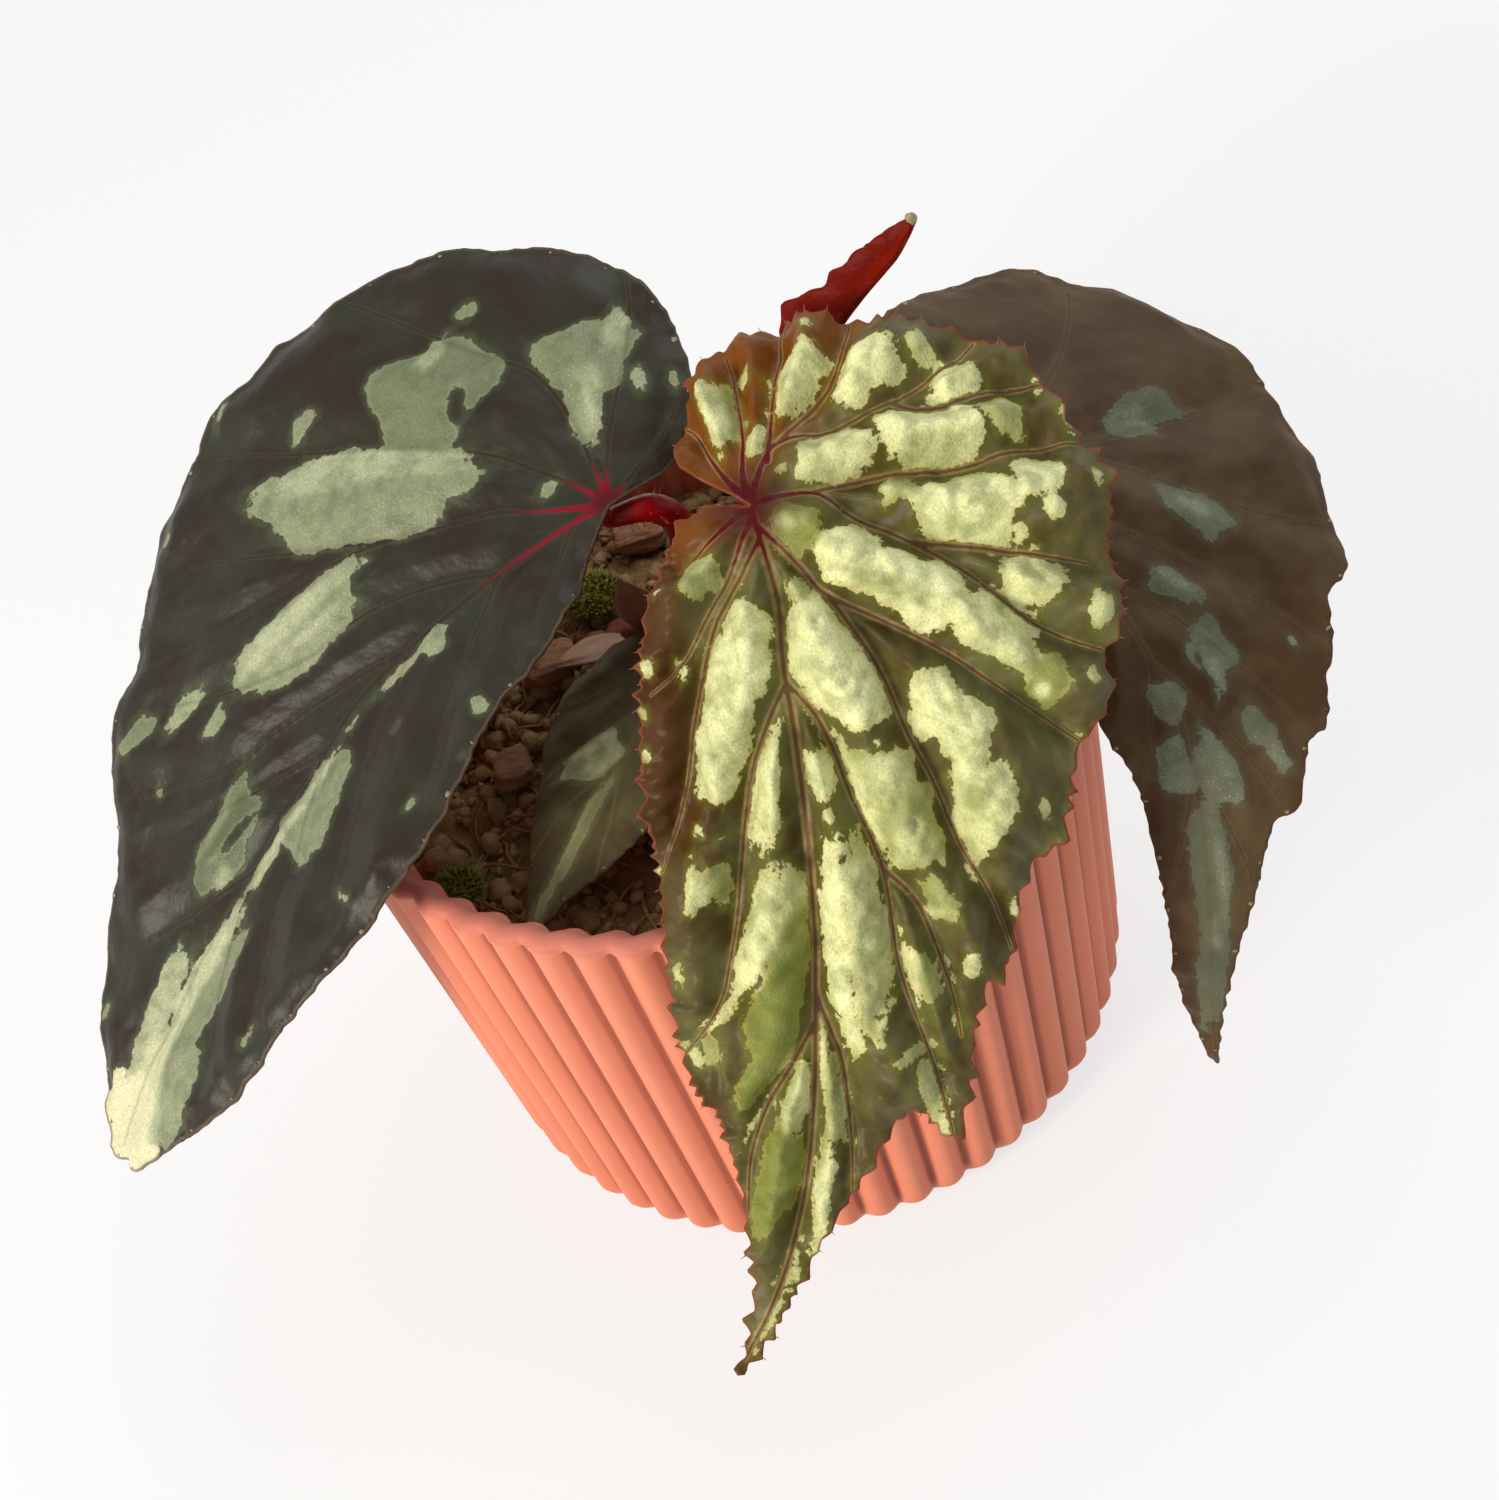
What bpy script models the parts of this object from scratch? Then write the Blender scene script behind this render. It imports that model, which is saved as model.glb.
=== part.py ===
"""Potted begonia: a small foliage begonia growing in a fluted terracotta-coloured pot.

Metres, +Z up. The origin is the middle of the pot's flat base, where it rests on a surface,
and -Y is the side that the middle leaf hangs over.
"""
import math
import random

import bmesh
import bpy
from mathutils import Vector, noise

MM = 0.001
GAP = 0.3                     # clearance between pieces that touch, mm

# Pot, mm
RIM_RADIUS = 46.0             # outside, on the crests of the flutes
BASE_RADIUS = 43.0            # outside, where the wall would meet the ground
POT_HEIGHT = 68.0
WALL = 3.2
FLOOR = 5.0
BASE_ROUND = 5.0              # rounding of the outer bottom edge
FLUTES = 56
FLUTE_DEPTH = 1.5             # crest to valley, outside
INNER_FLUTE_DEPTH = 1.1
FLUTE_PHASE = math.radians(1.5)   # direction of one valley
SEGMENTS_PER_FLUTE = 4

# Soil, mm
SOIL_EDGE_HEIGHT = 51.0
MOUND_CENTRE = (0.0, 8.0)
MOUND_RISE = 6.5
MOUND_SPREAD = 24.0
HOLLOW_CENTRE = (2.0, -30.0)
HOLLOW_DEPTH = 6.0
HOLLOW_SPREAD = 13.0
SOIL_ROUGHNESS = 1.6

# Crown: the creeping rhizome that the leaf stalks grow from, mm
CROWN_ROUTE = [(-9.0, 14.0, 56.5), (-2.0, 11.0, 58.0), (6.0, 8.0, 58.5), (14.0, 5.0, 57.5)]
CROWN_RADIUS = 3.6

BLADE_THICKNESS = 0.8
CAP_TILT = 0.34               # how far a stalk's end leans towards its blade, per mm of its radius

# A blade lies in its own flat frame before it is bent: along is the distance from the joint
# with its stalk towards the tip, across is the distance to the left of the midrib.
# Each lobe is (angle, reach, bay): the direction of its tip from the joint, in degrees to the
# left of the midrib, how far it reaches, and how deep the margin dips before the next lobe, as
# a share of the reach. The lobes run from one side of the notch, around the tip, to the other.
# heading, pitch and roll are in degrees at the joint. turn, droop and twist are how much they
# change over 100 mm of midrib, ease is how much of the droop is taken back over the first
# 100 mm, and the sides curl down from the midrib by curl degrees over 100 mm, after a fold.
BLADES = {
    "leaf_left": dict(
        joint=(-3, -1, 90), heading=185, turn=25, pitch=-7, droop=-70, ease=40, roll=-20,
        twist=25, curl_left=20, curl_right=25, fold=-10, colour=(0.045, 0.042, 0.024),
        lobes=[
            (-172, 7, 0), (-155, 13, 0), (-135, 19, 0), (-114, 27, 0), (-92, 35, 0),
            (-76, 42, 0.02), (-66, 48, 0.03), (-56, 52, 0.02), (-46, 56, 0.01), (-35, 59, 0.03),
            (-25, 66, 0.02), (-13, 74, 0), (-5, 88, 0), (0, 97, 0), (5, 95, 0), (13, 79, 0.02),
            (20, 62, 0.02), (29, 42, 0.04), (33, 26, 0), (45, 12, 0), (45, 6, 0)]),
    "leaf_centre": dict(
        joint=(10.6, -18, 98), heading=268, turn=-55, pitch=-25, droop=-105, ease=120, roll=5,
        twist=-40, curl_left=28, curl_right=24, fold=0, colour=(0.36, 0.40, 0.12),
        lobes=[
            (216, 9, 0), (194, 15, 0), (175, 20, 0.03), (145, 22, 0.03), (120, 25, 0.03),
            (98, 32, 0.03), (80, 36, 0.03), (62, 38, 0.03), (50, 40, 0.05), (34, 44, 0.06),
            (22, 51, 0.08), (13, 65, 0.08), (4, 71, 0.04), (0, 90, 0.02), (-4, 76, 0.04),
            (-14, 60, 0.02), (-24, 41, 0.04), (-42, 24, 0.08), (-78, 11, 0), (-120, 5, 0)]),
    "leaf_right": dict(
        joint=(31.6, -6.5, 84), heading=320, turn=-125, pitch=-15, droop=-85, ease=0, roll=10,
        twist=-20, curl_left=22, curl_right=24, fold=9, colour=(0.060, 0.040, 0.024),
        lobes=[
            (150, 7, 0), (135, 14, 0), (120, 22, 0), (105, 30, 0), (92, 36, 0.01), (80, 39, 0.01),
            (68, 40, 0.02), (52, 40, 0.02), (39, 42, 0.04), (27, 43, 0.02), (20, 47, 0.04),
            (12, 52, 0.05), (5, 59, 0.03), (1, 74, 0), (0, 85, 0), (-3, 76, 0), (-5, 60, 0),
            (-8, 44, 0), (-14, 34, 0), (-30, 25, 0), (-60, 18, 0), (-95, 14, 0), (-130, 9, 0)]),
    "leaf_lower": dict(
        joint=(-2.5, -2.5, 66), heading=225, turn=0, pitch=-8, droop=-23, ease=0, roll=-6,
        twist=0, curl_left=34, curl_right=34, fold=3, colour=(0.055, 0.050, 0.026),
        lobes=[
            (143, 3, 0), (125, 6, 0), (98, 9, 0), (68, 11, 0), (40, 15, 0), (20, 21, 0),
            (8, 28, 0), (0, 36, 0), (-8, 29, 0), (-22, 21, 0), (-45, 15, 0), (-75, 10, 0),
            (-112, 7, 0), (-145, 3.5, 0)]),
}
BLADE_SPOKES = 56             # lines from the joint to the outline
BLADE_RINGS = (0.16, 0.4, 0.62, 0.82, 1.0)
SMALL_BLADE_SPOKES = 28

# Leaf stalks, mm: the points that each passes through, from the crown up, and its radii.
# The last point is below the joint of its blade.
STALKS = {
    "petiole_left": dict(
        route=[(1.5, 9.5, 63.2), (3.0, 7.0, 72.0), (3.6, 4.0, 82.0), (1.6, 1.2, 87.2)],
        blade="leaf_left", radii=(2.2, 1.7)),
    "petiole_centre": dict(
        route=[(7.4, 7.4, 62.7), (10.0, 1.0, 76.0), (12.0, -8.0, 90.0)],
        blade="leaf_centre", radii=(2.2, 1.6)),
    "petiole_right": dict(
        route=[(12.6, 3.2, 61.6), (18.0, 3.0, 70.0), (25.5, 0.5, 79.0)],
        blade="leaf_right", radii=(2.1, 1.6)),
    "petiole_lower": dict(
        route=[(-3.8, 6.3, 59.2), (-2.6, 3.5, 62.0)],
        blade="leaf_lower", radii=(1.2, 1.0)),
}

# Young leaf, still rolled, mm: route of its stalk, then of the rolled blade
YOUNG_STALK = [(11.4, 8.6, 61.1), (14.5, 11.0, 72.0), (18.5, 10.5, 83.0), (22.4, 8.4, 91.0)]
YOUNG_STALK_RADII = (1.5, 1.2)
YOUNG_ROUTE = [(22.6, 8.2, 91.6), (25.0, 7.0, 97.0), (28.0, 5.8, 101.0), (32.0, 4.4, 105.0),
               (36.4, 3.1, 109.0)]
YOUNG_RADII = (1.2, 2.9, 2.9, 1.7, 0.6)

# Stipules: papery scales beside the stalks, mm and degrees
STIPULES = {
    "stipule_upper": dict(foot=(-2.6, 8.6, 61.3), heading=250.0, rise=72.0, length=17.0, width=8.0),
    "stipule_lower": dict(foot=(-7.6, 10.9, 60.1), heading=205.0, rise=24.0, length=10.0, width=6.0),
    "stipule_back": dict(foot=(7.2, 10.4, 61.0), heading=80.0, rise=50.0, length=11.0, width=6.0),
}
STIPULE_THICKNESS = 0.5

# Loose bits that lie on the soil, mm: (x, y, half length, half width, half height, turn)
BARK_CHIPS = [(-17.0, 12.5, 4.2, 2.4, 1.5, 30), (-25.0, -1.0, 3.4, 2.3, 1.7, 80),
              (-18.0, -12.0, 3.0, 2.4, 1.6, 10), (-28.0, 11.0, 3.8, 2.6, 1.9, 120),
              (24.0, 24.0, 4.6, 2.8, 1.8, 45), (-2.0, 31.0, 4.4, 2.6, 1.7, 160),
              (31.0, -12.0, 3.4, 2.4, 1.8, 100)]
MOSS_TUFTS = [(-35.0, -14.5, 3.2), (-9.5, 20.5, 4.0), (-27.0, 25.0, 4.4), (16.0, 33.0, 4.2)]


def clear_scene():
    for item in list(bpy.data.objects):
        bpy.data.objects.remove(item, do_unlink=True)


def new_collection(name):
    collection = bpy.data.collections.new(name)
    bpy.context.scene.collection.children.link(collection)
    return collection


def material(name, colour, roughness):
    result = bpy.data.materials.new(name)
    result.use_nodes = True
    shader = result.node_tree.nodes["Principled BSDF"]
    shader.inputs["Base Color"].default_value = (*colour, 1.0)
    shader.inputs["Roughness"].default_value = roughness
    shader.inputs["Metallic"].default_value = 0.0
    return result


def add_object(name, data, collection, colour, roughness=0.7):
    item = bpy.data.objects.new(name, data)
    collection.objects.link(item)
    data.materials.append(material(name, colour, roughness))
    return item


def mesh_from_bmesh(name, bm):
    bmesh.ops.recalc_face_normals(bm, faces=bm.faces)
    mesh = bpy.data.meshes.new(name)
    bm.to_mesh(mesh)
    bm.free()
    return mesh


def smooth(item, angle=40.0):
    item.data.shade_smooth()
    item.data.set_sharp_from_angle(angle=math.radians(angle))


def through_points(points, samples):
    """Even samples along a Catmull-Rom curve through the points."""
    vectors = [Vector(point) for point in points]
    count = len(vectors)

    def at(index):
        return vectors[min(max(index, 0), count - 1)]

    fine = []
    steps = 12
    for span in range(count - 1):
        before, start, end, after = (at(span + offset) for offset in (-1, 0, 1, 2))
        for step in range(steps):
            t = step / steps
            fine.append(0.5 * ((2 * start) + (end - before) * t
                               + (2 * before - 5 * start + 4 * end - after) * t ** 2
                               + (3 * start - before - 3 * end + after) * t ** 3))
    fine.append(vectors[-1])
    lengths = [0.0]
    for first, second in zip(fine, fine[1:]):
        lengths.append(lengths[-1] + (second - first).length)
    result = []
    index = 0
    for sample in range(samples):
        target = lengths[-1] * sample / (samples - 1)
        while index < len(fine) - 2 and lengths[index + 1] < target:
            index += 1
        span = lengths[index + 1] - lengths[index]
        blend = (target - lengths[index]) / span if span else 0.0
        result.append(fine[index].lerp(fine[index + 1], min(blend, 1.0)))
    return result


def tube(name, route, radii, collection, colour, samples=10, sides=2, roughness=0.35):
    """A tapering stalk: a poly curve with a round bevel and filled caps."""
    data = bpy.data.curves.new(name, "CURVE")
    data.dimensions = "3D"
    data.bevel_depth = MM
    data.bevel_resolution = sides
    data.use_fill_caps = True
    spline = data.splines.new("POLY")
    spline.points.add(samples - 1)
    points = through_points(route, samples)
    last = len(radii) - 1
    for index, (target, point) in enumerate(zip(spline.points, points)):
        place = index / (samples - 1) * last
        low = min(int(place), last - 1)
        target.co = (*(point * MM), 1.0)
        target.radius = radii[low] + (radii[low + 1] - radii[low]) * (place - low)
    return add_object(name, data, collection, colour, roughness)


# ---------------------------------------------------------------- pot

def wall_radius(height):
    """Outer radius on the crests at a height above the base."""
    return BASE_RADIUS + (RIM_RADIUS - BASE_RADIUS) * height / POT_HEIGHT


def inner_radius(height):
    return wall_radius(height) - WALL


def make_pot(collection):
    lip = WALL / 2
    outer = FLUTE_DEPTH
    inner = INNER_FLUTE_DEPTH
    low = BASE_ROUND * (1 - math.cos(math.radians(45)))
    # radius, height, depth of the flutes there
    profile = [
        (wall_radius(0) - BASE_ROUND, 0.0, 0.0),
        (wall_radius(0) - low, low, outer / 2),
        (wall_radius(BASE_ROUND), BASE_ROUND, outer),
        (wall_radius(POT_HEIGHT - lip), POT_HEIGHT - lip, outer),
        (RIM_RADIUS - 0.3 * lip, POT_HEIGHT - 0.3 * lip, outer),
        (RIM_RADIUS - lip, POT_HEIGHT, (outer + inner) / 2),
        (RIM_RADIUS - 1.7 * lip, POT_HEIGHT - 0.3 * lip, inner),
        (inner_radius(POT_HEIGHT - lip), POT_HEIGHT - lip, inner),
        (inner_radius(FLOOR), FLOOR, inner)]
    segments = FLUTES * SEGMENTS_PER_FLUTE
    bm = bmesh.new()
    rings = []
    for radius, height, depth in profile:
        ring = []
        for segment in range(segments):
            angle = FLUTE_PHASE + math.tau * segment / segments
            crest = 0.5 - 0.5 * math.cos(FLUTES * (angle - FLUTE_PHASE))
            reach = radius - depth * (1 - crest)
            ring.append(bm.verts.new((reach * math.cos(angle) * MM, reach * math.sin(angle) * MM,
                                      height * MM)))
        rings.append(ring)
    for lower, upper in zip(rings, rings[1:]):
        for index in range(segments):
            after = (index + 1) % segments
            bm.faces.new((lower[index], lower[after], upper[after], upper[index]))
    bm.faces.new(list(reversed(rings[0])))
    bm.faces.new(rings[-1])
    pot = add_object("pot", mesh_from_bmesh("pot", bm), collection, (0.72, 0.25, 0.17), 0.75)
    smooth(pot, 50)


# ---------------------------------------------------------------- soil and crown

def bump(x, y, centre, spread):
    return math.exp(-((x - centre[0]) ** 2 + (y - centre[1]) ** 2) / (2 * spread ** 2))


def soil_height(x, y):
    rough = noise.noise(Vector((x / 7.0, y / 7.0, 3.0))) * SOIL_ROUGHNESS
    return (SOIL_EDGE_HEIGHT + MOUND_RISE * bump(x, y, MOUND_CENTRE, MOUND_SPREAD)
            - HOLLOW_DEPTH * bump(x, y, HOLLOW_CENTRE, HOLLOW_SPREAD) + rough)


def make_soil(collection, cutters):
    clearance = INNER_FLUTE_DEPTH + GAP
    bottom_height = FLOOR + GAP
    segments = 56
    ring_count = 10
    bm = bmesh.new()
    centre = bm.verts.new((0, 0, soil_height(0, 0) * MM))
    rings = []
    for step in range(1, ring_count + 1):
        ring = []
        for segment in range(segments):
            angle = math.tau * segment / segments
            radius = (inner_radius(SOIL_EDGE_HEIGHT - 8) - clearance) * step / ring_count
            x, y = radius * math.cos(angle), radius * math.sin(angle)
            ring.append(bm.verts.new((x * MM, y * MM, soil_height(x, y) * MM)))
        rings.append(ring)
    bottom_radius = inner_radius(bottom_height) - clearance
    rings.append([bm.verts.new((bottom_radius * math.cos(math.tau * segment / segments) * MM,
                                bottom_radius * math.sin(math.tau * segment / segments) * MM,
                                bottom_height * MM)) for segment in range(segments)])
    for index in range(segments):
        after = (index + 1) % segments
        bm.faces.new((centre, rings[0][index], rings[0][after]))
        for inner, outer in zip(rings, rings[1:]):
            bm.faces.new((inner[index], outer[index], outer[after], inner[after]))
    bm.faces.new(list(reversed(rings[-1])))
    soil = add_object("soil", mesh_from_bmesh("soil", bm), collection, (0.07, 0.04, 0.022), 0.95)
    bed = tube("crown_bed", CROWN_ROUTE, (CROWN_RADIUS + GAP,) * 2, cutters, (0.5, 0.5, 0.5), 7, 3)
    mesh = bpy.data.meshes.new_from_object(bed.evaluated_get(bpy.context.evaluated_depsgraph_get()))
    bm = bmesh.new()
    bm.from_mesh(mesh)
    bmesh.ops.remove_doubles(bm, verts=bm.verts, dist=0.0001 * MM)
    bm.to_mesh(mesh)
    bm.free()
    cutter = bpy.data.objects.new("crown_bed_cutter", mesh)
    cutter.matrix_world = bed.matrix_world.copy()
    cutters.objects.link(cutter)
    bpy.data.objects.remove(bed, do_unlink=True)
    cutter.hide_render = True
    cutter.display_type = "WIRE"
    cut = soil.modifiers.new("crown bed", "BOOLEAN")
    cut.operation = "DIFFERENCE"
    cut.object = cutter


def make_crown(collection):
    tube("crown", CROWN_ROUTE, (2.6, CROWN_RADIUS, CROWN_RADIUS, 2.4), collection,
         (0.16, 0.06, 0.03), samples=7, sides=3, roughness=0.6)


# ---------------------------------------------------------------- leaf blades

def direction(heading, pitch):
    return Vector((math.cos(pitch) * math.cos(heading), math.cos(pitch) * math.sin(heading),
                   math.sin(pitch)))


class Bend:
    """Places a flat blade point in space: the midrib droops and turns, the sides curl down."""

    STEP = 0.5

    def __init__(self, spec, reach=120.0):
        self.spec = spec
        self.low = -60.0
        count = int((reach - self.low) / self.STEP) + 1
        self.spine = [Vector((0, 0, 0))]
        for index in range(1, count):
            middle = self.low + (index - 0.5) * self.STEP
            self.spine.append(self.spine[-1] + self.tangent(middle) * self.STEP)
        start = self.spine[int(-self.low / self.STEP)].copy()
        joint = Vector(spec["joint"])
        self.spine = [point - start + joint for point in self.spine]

    def heading(self, along):
        return math.radians(self.spec["heading"] + self.spec["turn"] * along / 100)

    def tangent(self, along):
        spec = self.spec
        share = along / 100
        pitch = spec["pitch"] + spec["droop"] * share + spec["ease"] * share ** 2
        return direction(self.heading(along), math.radians(pitch))

    def axes(self, along):
        """Leftward axis and upward normal of the midrib."""
        tangent = self.tangent(along)
        heading = self.heading(along)
        level = Vector((-math.sin(heading), math.cos(heading), 0.0))
        above = tangent.cross(level)
        roll = math.radians(self.spec["roll"] + self.spec["twist"] * along / 100)
        left = math.cos(roll) * level + math.sin(roll) * above
        return left, tangent.cross(left)

    def place(self, along, across, lift=0.0):
        spec = self.spec
        position = (along - self.low) / self.STEP
        index = min(max(int(position), 0), len(self.spine) - 2)
        base = self.spine[index].lerp(self.spine[index + 1], position - index)
        left, up = self.axes(along)
        curl = math.radians(spec["curl_left"] if across > 0 else spec["curl_right"]) / 100
        fold = math.radians(spec["fold"])
        end = fold + curl * abs(across)
        sideways = (math.sin(end) - math.sin(fold)) / curl
        drop = (math.cos(fold) - math.cos(end)) / curl
        side = 1.0 if across > 0 else -1.0
        normal = up * math.cos(end) + left * side * math.sin(end)
        return base + left * side * sideways - up * drop + normal * lift


def outline(lobes):
    """Points of the margin in the blade's flat frame: the tip of each lobe, then the bay after it."""
    polar = []
    for (angle, reach, bay), (next_angle, next_reach, _) in zip(lobes, lobes[1:]):
        polar.append((angle, reach))
        polar.append(((angle + next_angle) / 2, (reach + next_reach) / 2 * (1 - bay)))
    polar.append(lobes[-1][:2])
    return [(reach * math.cos(math.radians(angle)), reach * math.sin(math.radians(angle)), 0.0)
            for angle, reach in polar]


def make_blade(name, spec, collection, spokes):
    bend = Bend(spec)
    rim = through_points(outline(spec["lobes"]), spokes)
    bm = bmesh.new()
    joint = bm.verts.new(bend.place(0.0, 0.0) * MM)
    rings = [[bm.verts.new(bend.place(point.x * share, point.y * share) * MM) for point in rim]
             for share in BLADE_RINGS]
    for index in range(spokes - 1):
        bm.faces.new((joint, rings[0][index], rings[0][index + 1]))
        for inner, outer in zip(rings, rings[1:]):
            bm.faces.new((inner[index], outer[index], outer[index + 1], inner[index + 1]))
    blade = add_object(name, mesh_from_bmesh(name, bm), collection, spec["colour"], 0.5)
    shell = blade.modifiers.new("thickness", "SOLIDIFY")
    shell.thickness = BLADE_THICKNESS * MM
    shell.offset = 0.0
    smooth(blade, 60)


def make_stalk(name, spec, collection):
    """A stalk rises from the crown and stops just below the joint of its blade."""
    bend = Bend(BLADES[spec["blade"]])
    radius = spec["radii"][1]
    below = BLADE_THICKNESS / 2 + GAP
    top = bend.place(1.0, 0.0, -(below + CAP_TILT * radius))
    approach = bend.place(0.6, 0.0, -(below + 1.6 * radius))
    tube(name, spec["route"] + [tuple(approach), tuple(top)], (*spec["radii"], radius), collection,
         (0.22, 0.0, 0.008), samples=11)


# ---------------------------------------------------------------- young leaf and stipules

def make_young_leaf(collection):
    tube("petiole_young", YOUNG_STALK, YOUNG_STALK_RADII, collection, (0.30, 0.01, 0.01), 9)
    tube("young_leaf", YOUNG_ROUTE, YOUNG_RADII, collection, (0.32, 0.02, 0.012), 13, 3, 0.45)


def make_stipule(name, spec, collection):
    rise = math.radians(spec["rise"])
    heading = math.radians(spec["heading"])
    along = direction(heading, rise)
    left = Vector((-math.sin(heading), math.cos(heading), 0.0))
    out = left.cross(along)
    foot = Vector(spec["foot"])
    rows, columns = 6, 5
    bm = bmesh.new()
    grid = []
    for row in range(rows):
        t = row / (rows - 1)
        half = spec["width"] / 2 * (1 - 0.8 * t ** 2) * (0.55 + 0.45 * math.sin(math.pi * t))
        line = []
        for column in range(columns):
            s = column / (columns - 1) * 2 - 1
            point = (foot + along * spec["length"] * t + left * half * s
                     + out * (0.28 * half * s ** 2 + 0.1 * spec["length"] * t ** 2))
            line.append(bm.verts.new(point * MM))
        grid.append(line)
    for lower, upper in zip(grid, grid[1:]):
        for index in range(columns - 1):
            bm.faces.new((lower[index], lower[index + 1], upper[index + 1], upper[index]))
    stipule = add_object(name, mesh_from_bmesh(name, bm), collection, (0.55, 0.30, 0.22), 0.6)
    shell = stipule.modifiers.new("thickness", "SOLIDIFY")
    shell.thickness = STIPULE_THICKNESS * MM
    shell.offset = 0.0
    smooth(stipule)


# ---------------------------------------------------------------- bits on the soil

def resting_height(x, y, reach):
    """Height at which a flat-bottomed bit of this reach lies just clear of the soil."""
    around = [(x + reach * a / 2, y + reach * b / 2) for a in range(-2, 3) for b in range(-2, 3)
              if a * a + b * b <= 5]
    return max(soil_height(*place) for place in around) + GAP


def make_bark_chips(collection):
    chooser = random.Random(11)
    for number, (x, y, length, width, height, turn) in enumerate(BARK_CHIPS, 1):
        bm = bmesh.new()
        bmesh.ops.create_cube(bm, size=2.0)
        for vert in bm.verts:
            shrink = Vector([chooser.uniform(0.72, 1.0) for _ in range(3)])
            level = vert.co.z < 0
            vert.co = vert.co * shrink
            vert.co.z = -1.0 if level else vert.co.z
            vert.co = Vector((vert.co.x * length, vert.co.y * width, vert.co.z * height)) * MM
        name = f"bark_chip_{number}"
        chip = add_object(name, mesh_from_bmesh(name, bm), collection, (0.13, 0.07, 0.04), 0.9)
        chip.rotation_euler.z = math.radians(turn)
        base = resting_height(x, y, 0.7 * length)
        chip.location = Vector((x, y, base + height)) * MM
        edges = chip.modifiers.new("worn edges", "BEVEL")
        edges.width = 0.5 * MM
        edges.segments = 1


def make_moss_tufts(collection):
    for number, (x, y, radius) in enumerate(MOSS_TUFTS, 1):
        bm = bmesh.new()
        bmesh.ops.create_icosphere(bm, subdivisions=2, radius=radius * MM)
        for vert in bm.verts:
            swell = 1 + 0.22 * noise.noise(vert.co / MM * 0.5 + Vector((number, 0, 0)))
            vert.co = vert.co * swell
            vert.co.z = max(vert.co.z * 0.62, -0.35 * radius * MM)
        name = f"moss_tuft_{number}"
        tuft = add_object(name, mesh_from_bmesh(name, bm), collection, (0.12, 0.14, 0.03), 0.95)
        tuft.location = Vector((x, y, resting_height(x, y, 0.9 * radius) + 0.35 * radius)) * MM
        smooth(tuft)


def main():
    clear_scene()
    collection = new_collection("potted_begonia")
    cutters = new_collection("cutters")
    make_pot(collection)
    make_soil(collection, cutters)
    make_crown(collection)
    for name, spec in BLADES.items():
        make_blade(name, spec, collection,
                   SMALL_BLADE_SPOKES if name == "leaf_lower" else BLADE_SPOKES)
    for name, spec in STALKS.items():
        make_stalk(name, spec, collection)
    make_young_leaf(collection)
    for name, spec in STIPULES.items():
        make_stipule(name, spec, collection)
    make_bark_chips(collection)
    make_moss_tufts(collection)


main()
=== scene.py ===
"""Looks of the potted begonia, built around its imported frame.

Lengths below are in millimetres unless a name says otherwise; MM turns them into metres.
"""
import math
import random

import bpy
import numpy as np
from mathutils import Euler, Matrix, Vector, geometry, kdtree, noise


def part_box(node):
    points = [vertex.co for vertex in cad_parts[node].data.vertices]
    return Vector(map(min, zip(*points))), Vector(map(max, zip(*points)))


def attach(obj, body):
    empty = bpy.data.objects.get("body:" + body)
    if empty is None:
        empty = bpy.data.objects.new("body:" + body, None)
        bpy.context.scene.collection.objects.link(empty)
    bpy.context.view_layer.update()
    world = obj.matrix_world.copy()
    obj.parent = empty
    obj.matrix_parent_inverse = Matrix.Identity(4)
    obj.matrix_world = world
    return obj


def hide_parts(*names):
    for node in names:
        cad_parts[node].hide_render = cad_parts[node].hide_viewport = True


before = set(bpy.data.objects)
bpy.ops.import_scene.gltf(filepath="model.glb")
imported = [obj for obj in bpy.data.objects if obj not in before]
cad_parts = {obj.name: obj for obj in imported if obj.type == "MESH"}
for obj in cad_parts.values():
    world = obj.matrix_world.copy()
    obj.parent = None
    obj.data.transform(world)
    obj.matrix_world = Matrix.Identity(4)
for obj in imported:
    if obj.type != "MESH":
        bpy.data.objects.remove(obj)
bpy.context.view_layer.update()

MM = 0.001
BODY = "root"


def box_of(node):
    """Low and high corner of a solid's box, in millimetres."""
    return [np.array(corner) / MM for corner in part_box(node)]


POT_LOW, POT_HIGH = box_of("pot")
POT_AXIS = (POT_LOW + POT_HIGH)[:2] / 2
POT_HEIGHT = POT_HIGH[2]
RIM_RADIUS = (POT_HIGH - POT_LOW)[0] / 2

# Pot: the wall leans out from the base to the rim, fluted outside and inside.
BASE_RADIUS = RIM_RADIUS - 3.0
WALL = 3.2
FLOOR = 5.0
BASE_ROUND = 5.0
FOOT_WIDTH, FOOT_HOLLOW = 3.5, 0.8
FLUTES = 56
FLUTE_DEPTH = 1.5
INNER_FLUTE_DEPTH = 1.1
FLUTE_PHASE = math.radians(1.5)
FLUTE_SEGMENTS = 12
LIP_FADE = 0.74                 # share of the flutes' depth that is lost at the top of the lip

# Soil: a mound round the plant, a hollow at the front, and what lies loose on it.
SOIL_EDGE_HEIGHT = 51.0
MOUND_CENTRE, MOUND_RISE, MOUND_SPREAD = (0.0, 8.0), 6.5, 24.0
HOLLOW_CENTRE, HOLLOW_DEPTH, HOLLOW_SPREAD = (2.0, -30.0), 6.0, 13.0
SOIL_ROUGHNESS = 1.6
SOIL_RINGS, SOIL_SEGMENTS = 64, 220
SOIL_PAST_SOLID = 0.9           # how far the bed reaches into the hollows of the pot's inner flutes
CLODS, CLOD_SIZES = 1500, (0.5, 0.6, 0.8, 1.0, 1.3, 1.7)
FIBRES = 260
CHIPS = [f"bark_chip_{number}" for number in range(1, 8)]
TUFTS = [f"moss_tuft_{number}" for number in range(1, 5)]
LEAFLETS_PER_TUFT = 420

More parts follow.
